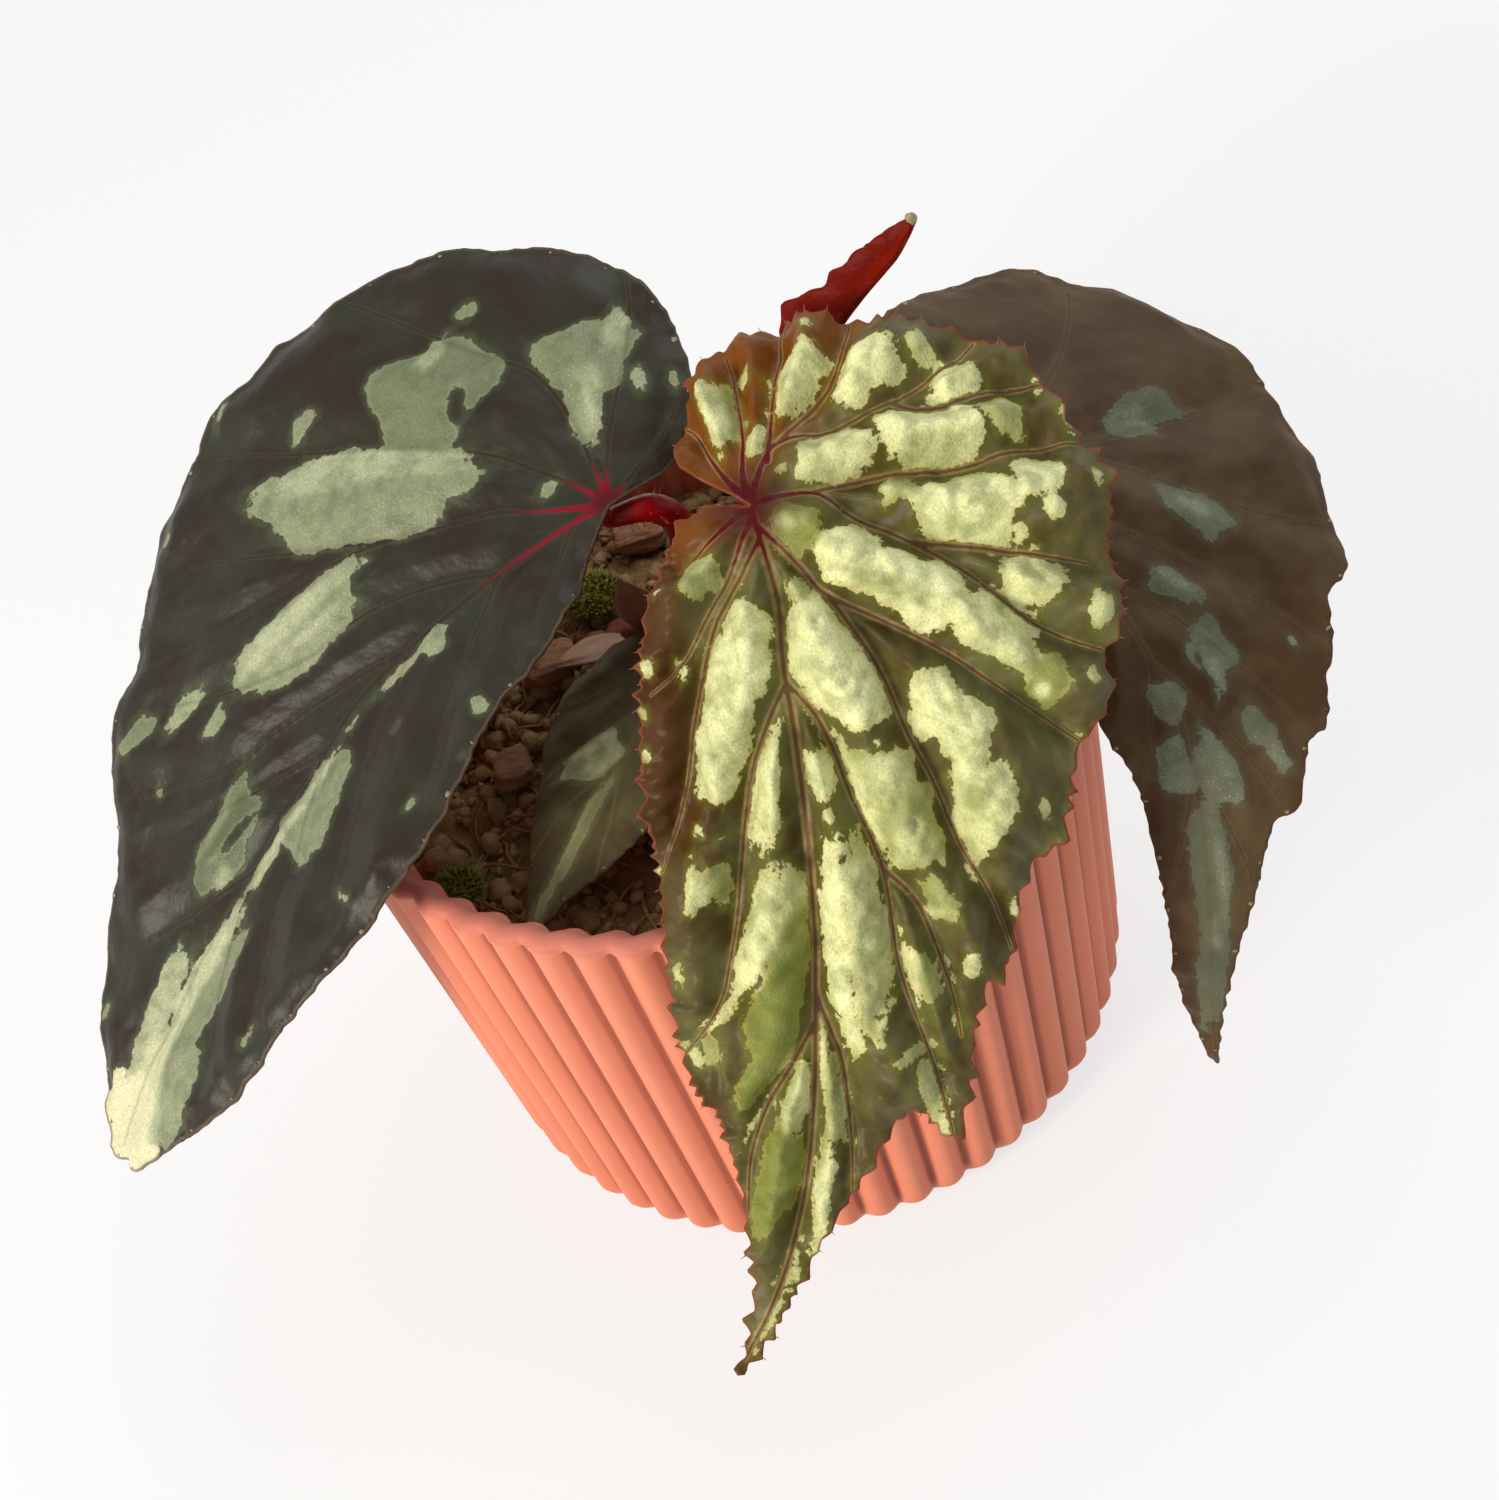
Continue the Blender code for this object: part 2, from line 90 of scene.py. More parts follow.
# A blade lies in its own flat frame before it is bent: along is the distance from the joint
# with its stalk towards the tip, across is the distance to the left of the midrib.
# lobes: (angle from the midrib, reach, bay after it), as the solid blade has them.
# veins: the midrib and then its laterals and their branches, each a route through a few points.
# crimson: how far from the joint each of the first veins is red.
# blotches: (along, across, length, width, turn in degrees, tone), tone 1 is the palest silver
# and 0 is plain green. A tone below 0 is a hole in the blotches before it.
BLADES = {
    "leaf_left": dict(
        joint=(-3, -1, 90), heading=185, turn=25, pitch=-7, droop=-70, ease=40, roll=-20,
        twist=25, curl_left=20, curl_right=25, fold=-10,
        lobes=[
            (-172, 7, 0), (-155, 13, 0), (-135, 19, 0), (-114, 27, 0), (-92, 35, 0),
            (-76, 42, 0.02), (-66, 48, 0.03), (-56, 52, 0.02), (-46, 56, 0.01),
            (-35, 59, 0.03), (-25, 66, 0.02), (-13, 74, 0), (-5, 88, 0), (0, 97, 0),
            (5, 95, 0), (13, 79, 0.02), (20, 62, 0.02), (29, 42, 0.04), (33, 26, 0),
            (45, 12, 0), (45, 6, 0)],
        crimson=(16, 10, 6, 5, 4, 3),
        veins=[
            [(0, 0), (14, -0.5), (27, -0.7), (35, -1.2), (44, 0), (59, 1.5), (71, 1), (95, 2)],
            [(0, 0), (6, -3), (10.5, -6.2), (16, -9), (22, -12.5), (28, -15.5), (42, -22), (51, -28)],
            [(0, 0), (2.2, -4), (5, -8), (8, -12.4), (14.5, -19.4), (20, -25), (26, -32), (33, -42)],
            [(0, 0), (-0.5, -6.5), (-0.6, -12), (0.5, -18), (3, -22), (6, -27), (13, -42)],
            [(0, 0), (-2.7, -6.2), (-6.8, -13), (-9.8, -19.5), (-11.5, -27)],
            [(0, 0), (-4, -2.2), (-8.5, -5), (-12.5, -9.5)],
            [(14, -0.5), (21, -4.5), (29, -8), (37, -9.8), (45, -15), (54, -24)],
            [(27, -0.7), (36, -4), (45, -7), (52, -9.5), (62, -19)],
            [(42, -0.3), (50, -4), (59, -9), (68, -14)],
            [(57, 1.3), (66, -3), (75, -8), (82, -11)],
            [(4, -0.2), (8, 3.5), (14, 9), (19, 13)],
            [(14, -0.5), (20, 4), (28, 11), (36, 18)],
            [(27, -0.7), (36, 4.5), (46, 11.5), (57, 18)],
            [(42, -0.3), (52, 6), (62, 11), (71, 16)], [(59, 1.5), (69, 6), (80, 12)],
            [(22, -12.5), (30, -20), (40, -31)]],
        blotches=[
            (10, -23, 13, 12, 0, 0.22), (8, -27.2, 4.4, 2.4, 30, 0.6), (8.4, -19.6, 4, 1.8, 70, -1),
            (21.5, -18.6, 25, 9.5, -40, 0.4), (19.6, -21.6, 26, 4.2, -40, 0.8),
            (13, -15.5, 5, 3, -40, 0.7), (35.5, -12.8, 18, 8, -9, 0.5), (35.5, -14.6, 17, 3, -9, 0.9),
            (34, -11.4, 9, 1.2, -9, 0.85), (-4.5, -17, 8, 9.5, 60, 0.3), (-2.6, -12.5, 10, 4, 72, 0.5),
            (-3.4, -12, 8, 1.8, 72, 0.85), (-8, -18.5, 5, 2.4, 60, 0.75), (24.2, 1.2, 4, 3.8, 0, 0.6),
            (28.8, 0.5, 9, 1.3, -4, 0.55), (38, 0.4, 3, 0.7, 0, 0.5), (47, 4.2, 13, 8, 14, 0.35),
            (56, 2.4, 9, 2.4, -4, 0.8), (49.5, 1.9, 19, 1.9, 4, 0.95), (57.5, -4.6, 13, 6.4, 5, 0.06),
            (57, -6.8, 9, 1.5, 8, 0.35), (61.6, -2.4, 3.4, 2, 0, 0.5), (55.5, -3.4, 6, 1.2, -10, -1),
            (75, 6, 24, 4.6, 3, 0.35), (76, 2.6, 30, 4.4, 2, 1.0), (79, -1.6, 17, 3.4, 3, 0.7),
            (84, 9.5, 12, 4.6, 8, 0.45), (86, 2.5, 14, 9, 0, 1.15), (92.5, 3.5, 13, 17, 0, 1.5),
            (22.1, -31.3, 3.6, 2.3, 20, 0.4), (3.2, -29.3, 2.2, 2, 0, 0.3),
            (4.6, -5.4, 2.8, 1.6, 20, 0.6), (-8.2, -11.8, 1.6, 3, 0, 0.6),
            (-11.5, -10, 1.3, 2.2, 0, 0.5), (27.8, -29.2, 2, 1.5, 0, 0.6), (51, -20, 6.4, 2.4, -12, 0.6),
            (57, -24, 6, 2.6, -10, 0.25), (49.3, -14.7, 3.6, 2.5, 10, 0.45),
            (23.6, 12.6, 1.8, 2.4, 0, 0.5), (33, 6.5, 1, 0.7, 0, 0.9), (84, -9, 2.4, 1.2, 0, 0.3),
            (50, 17, 1.1, 2.6, 20, 0.5), (71, 15.5, 2.6, 1.3, 0, 0.4), (37, 15.5, 1.7, 1.2, 0, 0.4),
            (27.5, -42, 2.4, 1, 30, 0.35), (40, -36, 2.4, 1, 30, 0.35), (60, -17, 1.2, 1, 0, 0.3),
            (-15, -14, 1.2, 1, 0, 0.4)]),
    "leaf_centre": dict(
        joint=(10.6, -18, 98), heading=268, turn=-55, pitch=-25, droop=-105, ease=120, roll=5,
        twist=-40, curl_left=28, curl_right=24, fold=0,
        lobes=[
            (216, 9, 0), (194, 15, 0), (175, 20, 0.03), (145, 22, 0.03), (120, 25, 0.03),
            (98, 32, 0.03), (80, 36, 0.03), (62, 38, 0.03), (50, 40, 0.05),
            (34, 44, 0.06), (22, 51, 0.08), (13, 65, 0.08), (4, 71, 0.04), (0, 90, 0.02),
            (-4, 76, 0.04), (-14, 60, 0.02), (-24, 41, 0.04), (-42, 24, 0.08),
            (-78, 11, 0), (-120, 5, 0)],
        crimson=(7, 6, 0, 9, 0, 0, 10, 0, 0, 11, 11, 10, 8, 7, 6, 6),
        veins=[
            [(0, 0), (10, 0), (18.5, -0.8), (40, -0.8), (54, -0.7), (70, 0), (80, 0), (89, -0.5)],
            [(2.5, 0.2), (7.4, 3.1), (10.8, 5), (14.7, 10.3), (18.5, 15.4), (22, 19.5), (28, 27)],
            [(10.8, 5), (18.4, 8.4), (25.2, 10.3), (30, 12.2), (36, 14.2), (41, 17), (46, 19)],
            [(0, 0), (0.6, 6.2), (4.3, 9.6), (7.8, 14.3), (11.2, 18.4), (17.7, 25), (21, 31.5)],
            [(0.6, 6.2), (0.8, 9), (1.2, 14.4), (2.6, 21), (2.6, 27), (3.4, 35)],
            [(7.8, 14.3), (9, 18), (10.6, 23), (13.2, 31)],
            [(0, 0), (-5.5, 4.4), (-5, 10.8), (-5, 15.7), (-5.6, 20), (-6.8, 25), (-8.5, 30)],
            [(-5.5, 4.4), (-8.5, 10), (-10.4, 13.2), (-14, 16.3), (-16.6, 18.5)],
            [(-5, 17), (-3, 21), (-3, 27), (-2, 34)],
            [(0, 0), (-4, 0.5), (-9, 2), (-13.3, 3), (-18.5, 4.2)],
            [(-4, 3.2), (-9, 5.4), (-13.5, 8), (-18, 10.6)],
            [(0, 0), (-4, -1.4), (-7.2, -2.1), (-11, -2.5), (-14.5, -3.4)],
            [(0, 0), (-3, -3), (-6, -6)], [(0, 0), (2, -4), (4, -9)],
            [(1.5, -0.2), (5, -3), (8.6, -6), (14, -10.5), (17, -14.5)],
            [(4, -0.3), (9, -5), (13, -7.6), (20, -10.3), (28.4, -12.6), (37, -16)],
            [(18.5, -0.8), (22.2, -3.3), (27, -5.6), (33.5, -7.2), (45, -9), (52, -10.6), (58, -14)],
            [(53, -0.7), (58, -3), (63, -5.2), (69, -6), (75, -5)],
            [(18.5, -0.8), (22, 1.4), (26.2, 2.8), (30.3, 3.8), (37.8, 6.4), (48, 7.8), (57, 11.5), (63, 14)],
            [(37.8, 6.4), (41, 9.4), (45, 11.2), (50, 13), (54, 14)],
            [(50, -0.8), (54.5, 1), (57.5, 2.2), (64.5, 3.8), (70, 4.8)]],
        blotches=[
            (-11.6, 1.4, 7.5, 3.4, -12, 0.2), (-11.6, 0.2, 9, 2.6, -12, 0.85),
            (-14.2, 4.6, 2, 1.8, 0, 0.7), (-6.3, 3, 3.6, 3.2, 0, 0.7), (-11, 9.2, 8.4, 4.4, -67, 0.8),
            (-8.2, 15.6, 8.2, 4.4, -81, 0.95), (-8, 21.8, 2.6, 2.4, 0, 0.6),
            (-15.6, 13, 1.8, 1.2, 0, 0.8), (-2.5, 31.5, 1.7, 1.2, 0, 0.8),
            (1.4, 33.2, 1.9, 1.4, 0, 0.85), (6.6, 34, 1.4, 1.2, 0, 0.8), (-4.6, 23.6, 5.6, 4, -78, 1.0),
            (-2.5, 4.3, 1.2, 1, 0, 0.6), (-2.2, 9.7, 7.8, 5.6, 88, 0.85), (-1.4, 18.6, 8, 6.2, 84, 0.95),
            (-0.4, 22, 5, 5.4, 84, 0.9), (1, 19, 7, 3, 84, 0.5), (-0.2, 27, 3.8, 3.8, 20, 0.4),
            (-1.4, 27.6, 1.2, 3, 20, 0.95), (2.8, 14.6, 3.6, 3.8, 0, 0.45),
            (2.4, 13.4, 2.4, 1.6, 0, 0.9), (6.6, 20.6, 11, 6.4, 78, 0.85), (5, 19.5, 6, 3, 78, 1.0),
            (5.4, 28, 5.2, 4.2, 80, 0.95), (8.3, 28.6, 2.5, 1.9, 0, 0.8), (9.6, 25, 1.8, 1.4, 0, 0.75),
            (4, 3.6, 5.4, 5, 40, 0.15), (3.2, 3, 2.2, 1.4, 30, 0.85), (8, 8.2, 6.6, 6.2, 60, 1.0),
            (12.3, 13.8, 10.5, 6.6, 55, 1.0), (17, 20.6, 9.6, 6.4, 58, 0.8), (11.5, 11, 10, 2, 57, 0.45),
            (13.6, 25.1, 6.6, 5.2, 88, 0.85), (17.4, 31, 3, 2.8, 0, 0.6),
            (22.3, 24.6, 4.6, 4.4, 20, 0.2), (23.2, 24, 1.6, 1.6, 0, 0.9), (23.2, 13.6, 7, 5.8, 0, 0.95),
            (25.6, 15.8, 6, 6, 0, 0.75), (12.4, -3.6, 6, 5.2, -20, 0.85), (18, -6, 14, 6.8, -20, 0.9),
            (25, -8.4, 9.4, 5.6, -16, 0.8), (29.4, -4.4, 13, 3.2, -10, 0.85),
            (15.5, 3.3, 10, 6.6, 16, 0.9), (20.4, 5.6, 8, 6.8, 16, 1.0), (22, 1.2, 5, 1.5, 18, 0.5),
            (9.7, 2.3, 3, 2.4, 0, 0.55), (7.3, -3.3, 1.2, 0.9, 0, 0.8), (5.6, -6.8, 4.8, 4.2, 0, 0.4),
            (5.8, -11.4, 1.3, 1.1, 0, 0.9), (14, -14.4, 2, 1.7, 0, 0.95), (15, -10.8, 2.1, 1.4, 0, 0.85),
            (19, -15.6, 1.7, 1.4, 0, 0.4), (23.4, -16, 1.7, 1.3, 0, 0.8), (32.3, -11.5, 1.2, 1, 0, 0.8),
            (33.4, -9.2, 1.9, 0.6, -50, 0.8), (27.7, 1.1, 5.2, 3.2, 8, 0.85),
            (25.6, 7.2, 1, 0.9, 0, 0.8), (22, -1.7, 0.8, 0.7, 0, 0.8), (32.2, 1.6, 1.9, 1.1, 10, 0.9),
            (30.6, 7.2, 9, 7, 6, 0.5), (33.6, 9.4, 7.6, 6.2, 10, 0.3), (35.6, 9.6, 4.6, 4.6, 0, 0.65),
            (31, 5, 13, 1.7, 15, 0.95), (28, 8.5, 3, 4, 0, 0.75), (32.4, 16.6, 8.6, 6.4, -8, 0.75),
            (31.5, 16, 3, 2.6, 0, 0.3), (29, 16, 3, 3, 0, 0.9), (33.3, 22.9, 2.1, 1.2, 20, 0.7),
            (27.8, 27.2, 1.5, 1, 0, 0.7), (22.5, 29, 1.5, 1.2, 0, 0.5), (38.6, -12, 5, 2.8, 0, 0.85),
            (38.2, -9.8, 4.8, 2.8, 0, 0.3), (37, -17, 1.7, 1.4, 0, 0.8), (42, -5.6, 12, 3.6, -12, 0.75),
            (46.8, -7.4, 7, 3.2, -18, 0.9), (41, -3, 8, 4, -8, 0.5), (45.5, -2.6, 9, 3, -4, 0.2),
            (52, -4.4, 16, 5.2, -8, 0.08), (59, -6, 8, 3.2, -26, 0.1), (44, 1.6, 22, 3.1, 2, 1.0),
            (53.6, 2.8, 5.6, 2.4, 25, 0.8), (43, 4.6, 17, 4.4, 6, 0.6), (49, 4.9, 9, 3.4, 5, 0.45),
            (40.7, 11.7, 4.8, 3, 25, 0.3), (42.3, 11.2, 1.4, 2, 0, 0.8), (37.2, 12.4, 1.5, 1.1, 0, 0.85),
            (39, 15.5, 3.2, 1.2, 25, 0.6), (42.6, 19.6, 1.9, 0.9, 20, 0.85),
            (47.5, 8.9, 8, 1.7, 18, 0.85), (48, 12.3, 7, 1.1, 20, 0.9), (48.5, 10.7, 4.6, 2.4, 10, 0.25),
            (47, 15, 2.9, 1.9, 0, 0.85), (52, 13.4, 2.4, 1.2, 0, 0.8), (52, 6.3, 5.6, 1.2, -14, 0.85),
            (55.6, 9.4, 3.8, 1.8, -60, 0.6), (59, 11.2, 7, 2.2, 22, 0.55), (60, 12.9, 5, 0.9, 15, 0.9),
            (62.3, 13, 3, 2, 20, 0.65), (54, -11.2, 7.4, 1.5, -38, 0.8), (57.6, -13, 3.4, 1.8, 40, 0.65),
            (56.6, -11.2, 4, 2.2, 20, 0.25), (48.4, -14.4, 3, 1.2, 0, 0.6),
            (61.5, -4.8, 9.4, 1, -22, 0.9), (61.4, -2, 9, 3, -12, 0.8), (67, -3.4, 8, 3, -10, 0.1),
            (57, 0.3, 9, 1.3, 5, 0.8), (60.8, 1.8, 9, 2.4, 8, 0.35), (61.2, 3.1, 9, 0.9, 12, 0.9),
            (70, 1.8, 13, 2.2, 3, 0.85), (70, -3, 12, 4.6, -4, 0.08), (77, 0.3, 6, 1.5, -8, 0.7),
            (83.5, 0.4, 9, 1.3, -8, 0.7)]),
    "leaf_right": dict(
        joint=(31.6, -6.5, 84), heading=320, turn=-125, pitch=-15, droop=-85, ease=0, roll=10,
        twist=-20, curl_left=22, curl_right=24, fold=9,
        lobes=[
            (150, 7, 0), (135, 14, 0), (120, 22, 0), (105, 30, 0), (92, 36, 0.01),
            (80, 39, 0.01), (68, 40, 0.02), (52, 40, 0.02), (39, 42, 0.04),
            (27, 43, 0.02), (20, 47, 0.04), (12, 52, 0.05), (5, 59, 0.03), (1, 74, 0),
            (0, 85, 0), (-3, 76, 0), (-5, 60, 0), (-8, 44, 0), (-14, 34, 0), (-30, 25, 0),
            (-60, 18, 0), (-95, 14, 0), (-130, 9, 0)],
        crimson=(8, 6, 6, 6, 0, 6, 0, 0, 0, 5, 5),
        veins=[
            [(0, 0), (40, 0.3), (60, -0.2), (84, 0)],
            [(0, 0), (-3, 10), (-5, 20), (-7.5, 28)],
            [(0, 0), (4, 10), (4.5, 20), (3, 30), (1, 37)],
            [(0, 0), (8, 9), (13, 18), (16, 27), (17.5, 35)],
            [(8, 9), (18, 15), (25, 21), (29, 28)],
            [(7, 0), (18, 6), (28, 12.5), (35, 17.5), (39, 20)],
            [(20, 0.1), (29, 5), (38, 10), (45.5, 14.5)],
            [(32, 0.2), (40, 4), (48, 8), (53, 10)], [(44, 0.2), (52, 3), (59, 5)],
            [(0, 0), (-1, -7), (-1.2, -13)], [(0, 0), (5, -8), (9, -15)],
            [(5, 0), (13, -6), (21, -12)], [(18, 0), (26, -4.5), (33, -8)],
            [(32, 0.2), (39, -3), (46, -5.6)], [(45, 0.2), (53, -2.6), (60, -4.8)]],
        blotches=[
            (12.6, 21, 9, 3.6, 72, 0.1), (12.2, 18.6, 4.6, 3.4, 60, 0.5),
            (21.8, 14.9, 7.4, 4.6, 31, 0.25), (21.4, 15.2, 4, 2, 31, 0.75), (26.4, 7, 5.8, 3.2, 30, 0.3),
            (26, 7, 3.6, 1.1, 30, 0.8), (33.5, 6.9, 6, 5, 20, 0.35), (36, 5.9, 4.8, 1.7, -15, 0.65),
            (34.6, 4.9, 4, 0.6, 0, -1), (36.6, 0, 4.4, 3.9, 0, 0.4), (43.8, -1.3, 6.6, 4.4, 8, 0.45),
            (45.2, 2.7, 8, 4.4, 6, 0.5), (42.2, 8.2, 5, 3, 20, 0.3), (45.6, 9.6, 3.6, 2.2, 20, 0.5),
            (57.5, 0.4, 22, 4.2, 0, 0.15), (56, 1.4, 12, 1.2, 0, 0.6), (64, 0.2, 5, 1.6, 0, 0.6),
            (71, -0.3, 14, 3.4, 0, 0.12), (36, 15.5, 1.4, 1.2, 0, 0.6)]),
    "leaf_lower": dict(
        joint=(-2.5, -2.5, 66), heading=225, turn=0, pitch=-8, droop=-23, ease=0, roll=-6,
        twist=0, curl_left=34, curl_right=34, fold=3,
        lobes=[
            (143, 3, 0), (125, 6, 0), (98, 9, 0), (68, 11, 0), (40, 15, 0), (20, 21, 0),
            (8, 28, 0), (0, 36, 0), (-8, 29, 0), (-22, 21, 0), (-45, 15, 0), (-75, 10, 0),
            (-112, 7, 0), (-145, 3.5, 0)],
        crimson=(4,),
        veins=[
            [(0, 0), (18, 0.4), (35.5, 0)], [(0, 0), (5, 5), (10.5, 9)],
            [(6, 0.2), (13, 4), (19, 7)], [(14, 0.3), (21, 2.8), (27, 3.8)],
            [(0, 0), (5, -5.5), (10, -10)], [(6, 0.2), (13, -4.5), (19, -7.5)],
            [(14, 0.3), (21, -3), (28, -4)]],
        blotches=[
            (14.5, -2.8, 8, 5, -28, 0.8), (13.6, -4.2, 7, 1.6, -28, 1.0), (25, 0.1, 20, 1.7, 0, 0.2),
            (8, 5, 3, 2.4, 0, 0.3)]),
}

# How each blade's surface is made. relief is how far it swells between veins that are span apart,
# quilt that between side veins; tooth is the height of the teeth on its margin, wave that of the
# margin's waves, dimple the depth of the pits in its blotches and blister their swelling.
SURFACES = {
    "leaf_left": dict(spacing=0.5, relief=0.9, span=3.2, quilt=0.1, side_gap=6.0, tooth=0.25,
                      wave=0.9, wave_length=11.0, pucker=0.05, dimple=0.1, blister=0.15),
    "leaf_centre": dict(spacing=0.4, relief=3.1, span=2.2, quilt=0.6, side_gap=3.6, tooth=1.5,
                        wave=1.0, wave_length=5.0, pucker=0.22, dimple=0.45, blister=0.55),
    "leaf_right": dict(spacing=0.5, relief=1.1, span=3.0, quilt=0.16, side_gap=5.5, tooth=0.4,
                       wave=0.8, wave_length=9.0, pucker=0.1, dimple=0.15, blister=0.25),
    "leaf_lower": dict(spacing=0.5, relief=0.6, span=2.0, quilt=0.15, side_gap=4.0, tooth=0.3,
                       wave=0.4, wave_length=6.0, pucker=0.06, dimple=0.1, blister=0.2),
}
BLADE_THICKNESS = 0.8
MARGIN_THICKNESS = 0.4
VEIN_STEP = 0.4
VEIN_HALF_WIDTH, VEIN_TAPER, MIDRIB_EXTRA = 0.27, 0.14, 0.08
RIB_ABOVE, RIB_BELOW = 0.14, 0.7
LOBED_AREA, PITTED_AREA, AREA_PER_PIT = 8, 16, 26      # length times width of a blotch
PIT_RADIUS = 0.55
MARGIN_STEP = 0.3
TOOTHLESS = 3.0                 # length of margin by the joint that has no teeth
TOOTH_WIDTHS = (1.2, 3.6)
FULL_TOOTH = 2.4                # width from which a tooth has its full height
SIDE_ANGLES = (45, 65)          # between a side vein and the vein that it leaves
SIDE_STEPS = 24                 # a side vein has at most so many steps of VEIN_STEP
GLAND_INSET = 0.45              # from the tip of a tooth to the gland on it
JOINT_CALM = 10.0               # the relief fades within this distance of the joint

CROWN_ROUTE = [(-9, 14, 56.5), (-2, 11, 58), (6, 8, 58.5), (14, 5, 57.5)]
CROWN_RADII = (2.6, 3.6, 3.6, 2.4)
STALKS = {
    "petiole_left": dict(
        route=[(1.5, 9.5, 63.2), (3, 7, 71.5), (3.4, 3.6, 80.6), (1.1, 0.9, 86.3)],
        blade="leaf_left", radii=(2.2, 1.7, 1.7)),
    "petiole_centre": dict(
        route=[(7.4, 7.4, 62.7), (10, 1, 76), (12, -8, 90)], blade="leaf_centre",
        radii=(2.2, 1.6, 1.6)),
    "petiole_right": dict(
        route=[(12.6, 3.2, 61.6), (18, 3, 70), (25.5, 0.5, 79)], blade="leaf_right",
        radii=(2.1, 1.6, 1.6)),
    "petiole_lower": dict(
        route=[(-3.8, 6.3, 59.2), (-2.6, 3.5, 62)], blade="leaf_lower", radii=(1.2, 1.0, 1.0)),
}
HAIR_STEP, HAIRS_PER_STEP = 0.5, 1.6
STALK_RIDGE, STALK_LUMPS = 0.03, 0.05
YOUNG_STALK = [(11.4, 8.6, 61.1), (14.5, 11, 72), (18.5, 10.5, 83), (22.4, 8.4, 91)]
YOUNG_ROUTE = [(22.6, 8.2, 91.6), (25, 7, 97), (28, 5.8, 101), (32, 4.4, 105), (36.4, 3.1, 109)]
# (share of the route, width from fold to free edge); the free edges lie on YOUNG_FREE_SIDE.
YOUNG_WIDTHS = [(0, 1.6), (0.12, 5), (0.28, 6.2), (0.4, 4.6), (0.47, 3.6), (0.55, 3.9), (0.66, 3.4),
                (0.74, 3.4), (0.85, 2.6), (0.94, 1.6), (1, 0.7)]
YOUNG_FREE_SIDE = np.array((-0.6, 0.58, 0.55))
YOUNG_SKIN = 0.3                # half the thickness of each of its two halves at the fold
STIPULES = {
    "stipule_upper": dict(foot=(-2.6, 8.6, 61.3), heading=250, rise=72, length=17, width=8),
    "stipule_lower": dict(foot=(-7.6, 10.9, 60.1), heading=205, rise=24, length=10, width=6),
    "stipule_back": dict(foot=(7.2, 10.4, 61.0), heading=80, rise=50, length=11, width=6),
}

# ---------------------------------------------------------------- geometry helpers

def add_to_scene(name, data):
    """A new object in the scene, from a mesh, lamp or camera."""
    thing = bpy.data.objects.new(name, data)
    bpy.context.scene.collection.objects.link(thing)
    return thing


def new_piece(name, points, faces, materials, slot, nodes, face_materials=None, attributes=None):
    """A mesh piece on the one body, from points in millimetres."""
    mesh = bpy.data.meshes.new(name)
    mesh.from_pydata((np.asarray(points, float) * MM).tolist(), [], faces)
    for item in materials:
        mesh.materials.append(item)
    if face_materials is not None:
        mesh.polygons.foreach_set("material_index", face_materials)
    for key, values in (attributes or {}).items():
        layer = mesh.attributes.new(key, "FLOAT", "POINT")
        layer.data.foreach_set("value", np.asarray(values, np.float32))
    mesh.shade_smooth()
    piece = add_to_scene(name, mesh)
    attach(piece, BODY)
    if nodes:
        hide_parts(*nodes)
    return piece


class Gather:
    """Collects the points and faces of many small shapes for one piece."""

    def __init__(self):
        self.points = []
        self.faces = []
        self.kinds = []

    def add(self, points, faces, kind=0):
        start = len(self.points)
        self.points.extend(tuple(point) for point in points)
        self.faces.extend(tuple(start + index for index in face) for face in faces)
        self.kinds.extend([kind] * len(faces))

    def piece(self, name, materials, slot, nodes, attributes=None):
        """All of it as one piece; the kind of a shape is the index of its material."""
        new_piece(name, self.points, self.faces, materials, slot, nodes, self.kinds, attributes)


def ring_quads(rings, sides, start=0, flip=False):
    """Faces between each closed ring of points and the next, the first ring at index start."""
    faces = []
    for ring in range(rings):
        here, beyond = start + ring * sides, start + (ring + 1) * sides
        for side in range(sides):
            after = (side + 1) % sides
            quad = (here + side, here + after, beyond + after, beyond + side)
            faces.append((quad[0], quad[3], quad[2], quad[1]) if flip else quad)
    return faces


def sheet(rows, columns, outer, inner, first=0):
    """Faces of a thin sheet: two grids of points that begin at outer and inner, and their border.

    first is the corner at which each quad starts, which sets the diagonal that it bends along.
    """
    faces = []
    for row in range(rows - 1):
        for column in range(columns - 1):
            a = row * columns + column
            quad = (a, a + columns, a + columns + 1, a + 1)
            quad = quad[first:] + quad[:first]
            faces.append(tuple(outer + index for index in quad))
            faces.append(tuple(inner + index for index in quad[::-1]))
    border = list(range(columns))
    border += [row * columns + columns - 1 for row in range(1, rows)]
    border += [(rows - 1) * columns + column for column in range(columns - 2, -1, -1)]
    border += [row * columns for row in range(rows - 2, 0, -1)]
    for a, b in zip(border, border[1:] + border[:1]):
        faces.append((outer + a, outer + b, inner + b, inner + a))
    return faces


def direction(tilt, angle):
    """A unit vector tilted away from straight up."""
    return np.array([math.sin(tilt) * math.cos(angle), math.sin(tilt) * math.sin(angle),
                     math.cos(tilt)])


def unit(vector):
    """The vector at length 1."""
    vector = np.asarray(vector, float)
    return vector / (np.linalg.norm(vector) + 1e-12)


def smoothstep(value, low, high):
    """0 up to low, 1 from high, and a smooth change between."""
    share = np.clip((value - low) / (high - low), 0, 1)
    return share * share * (3 - 2 * share)


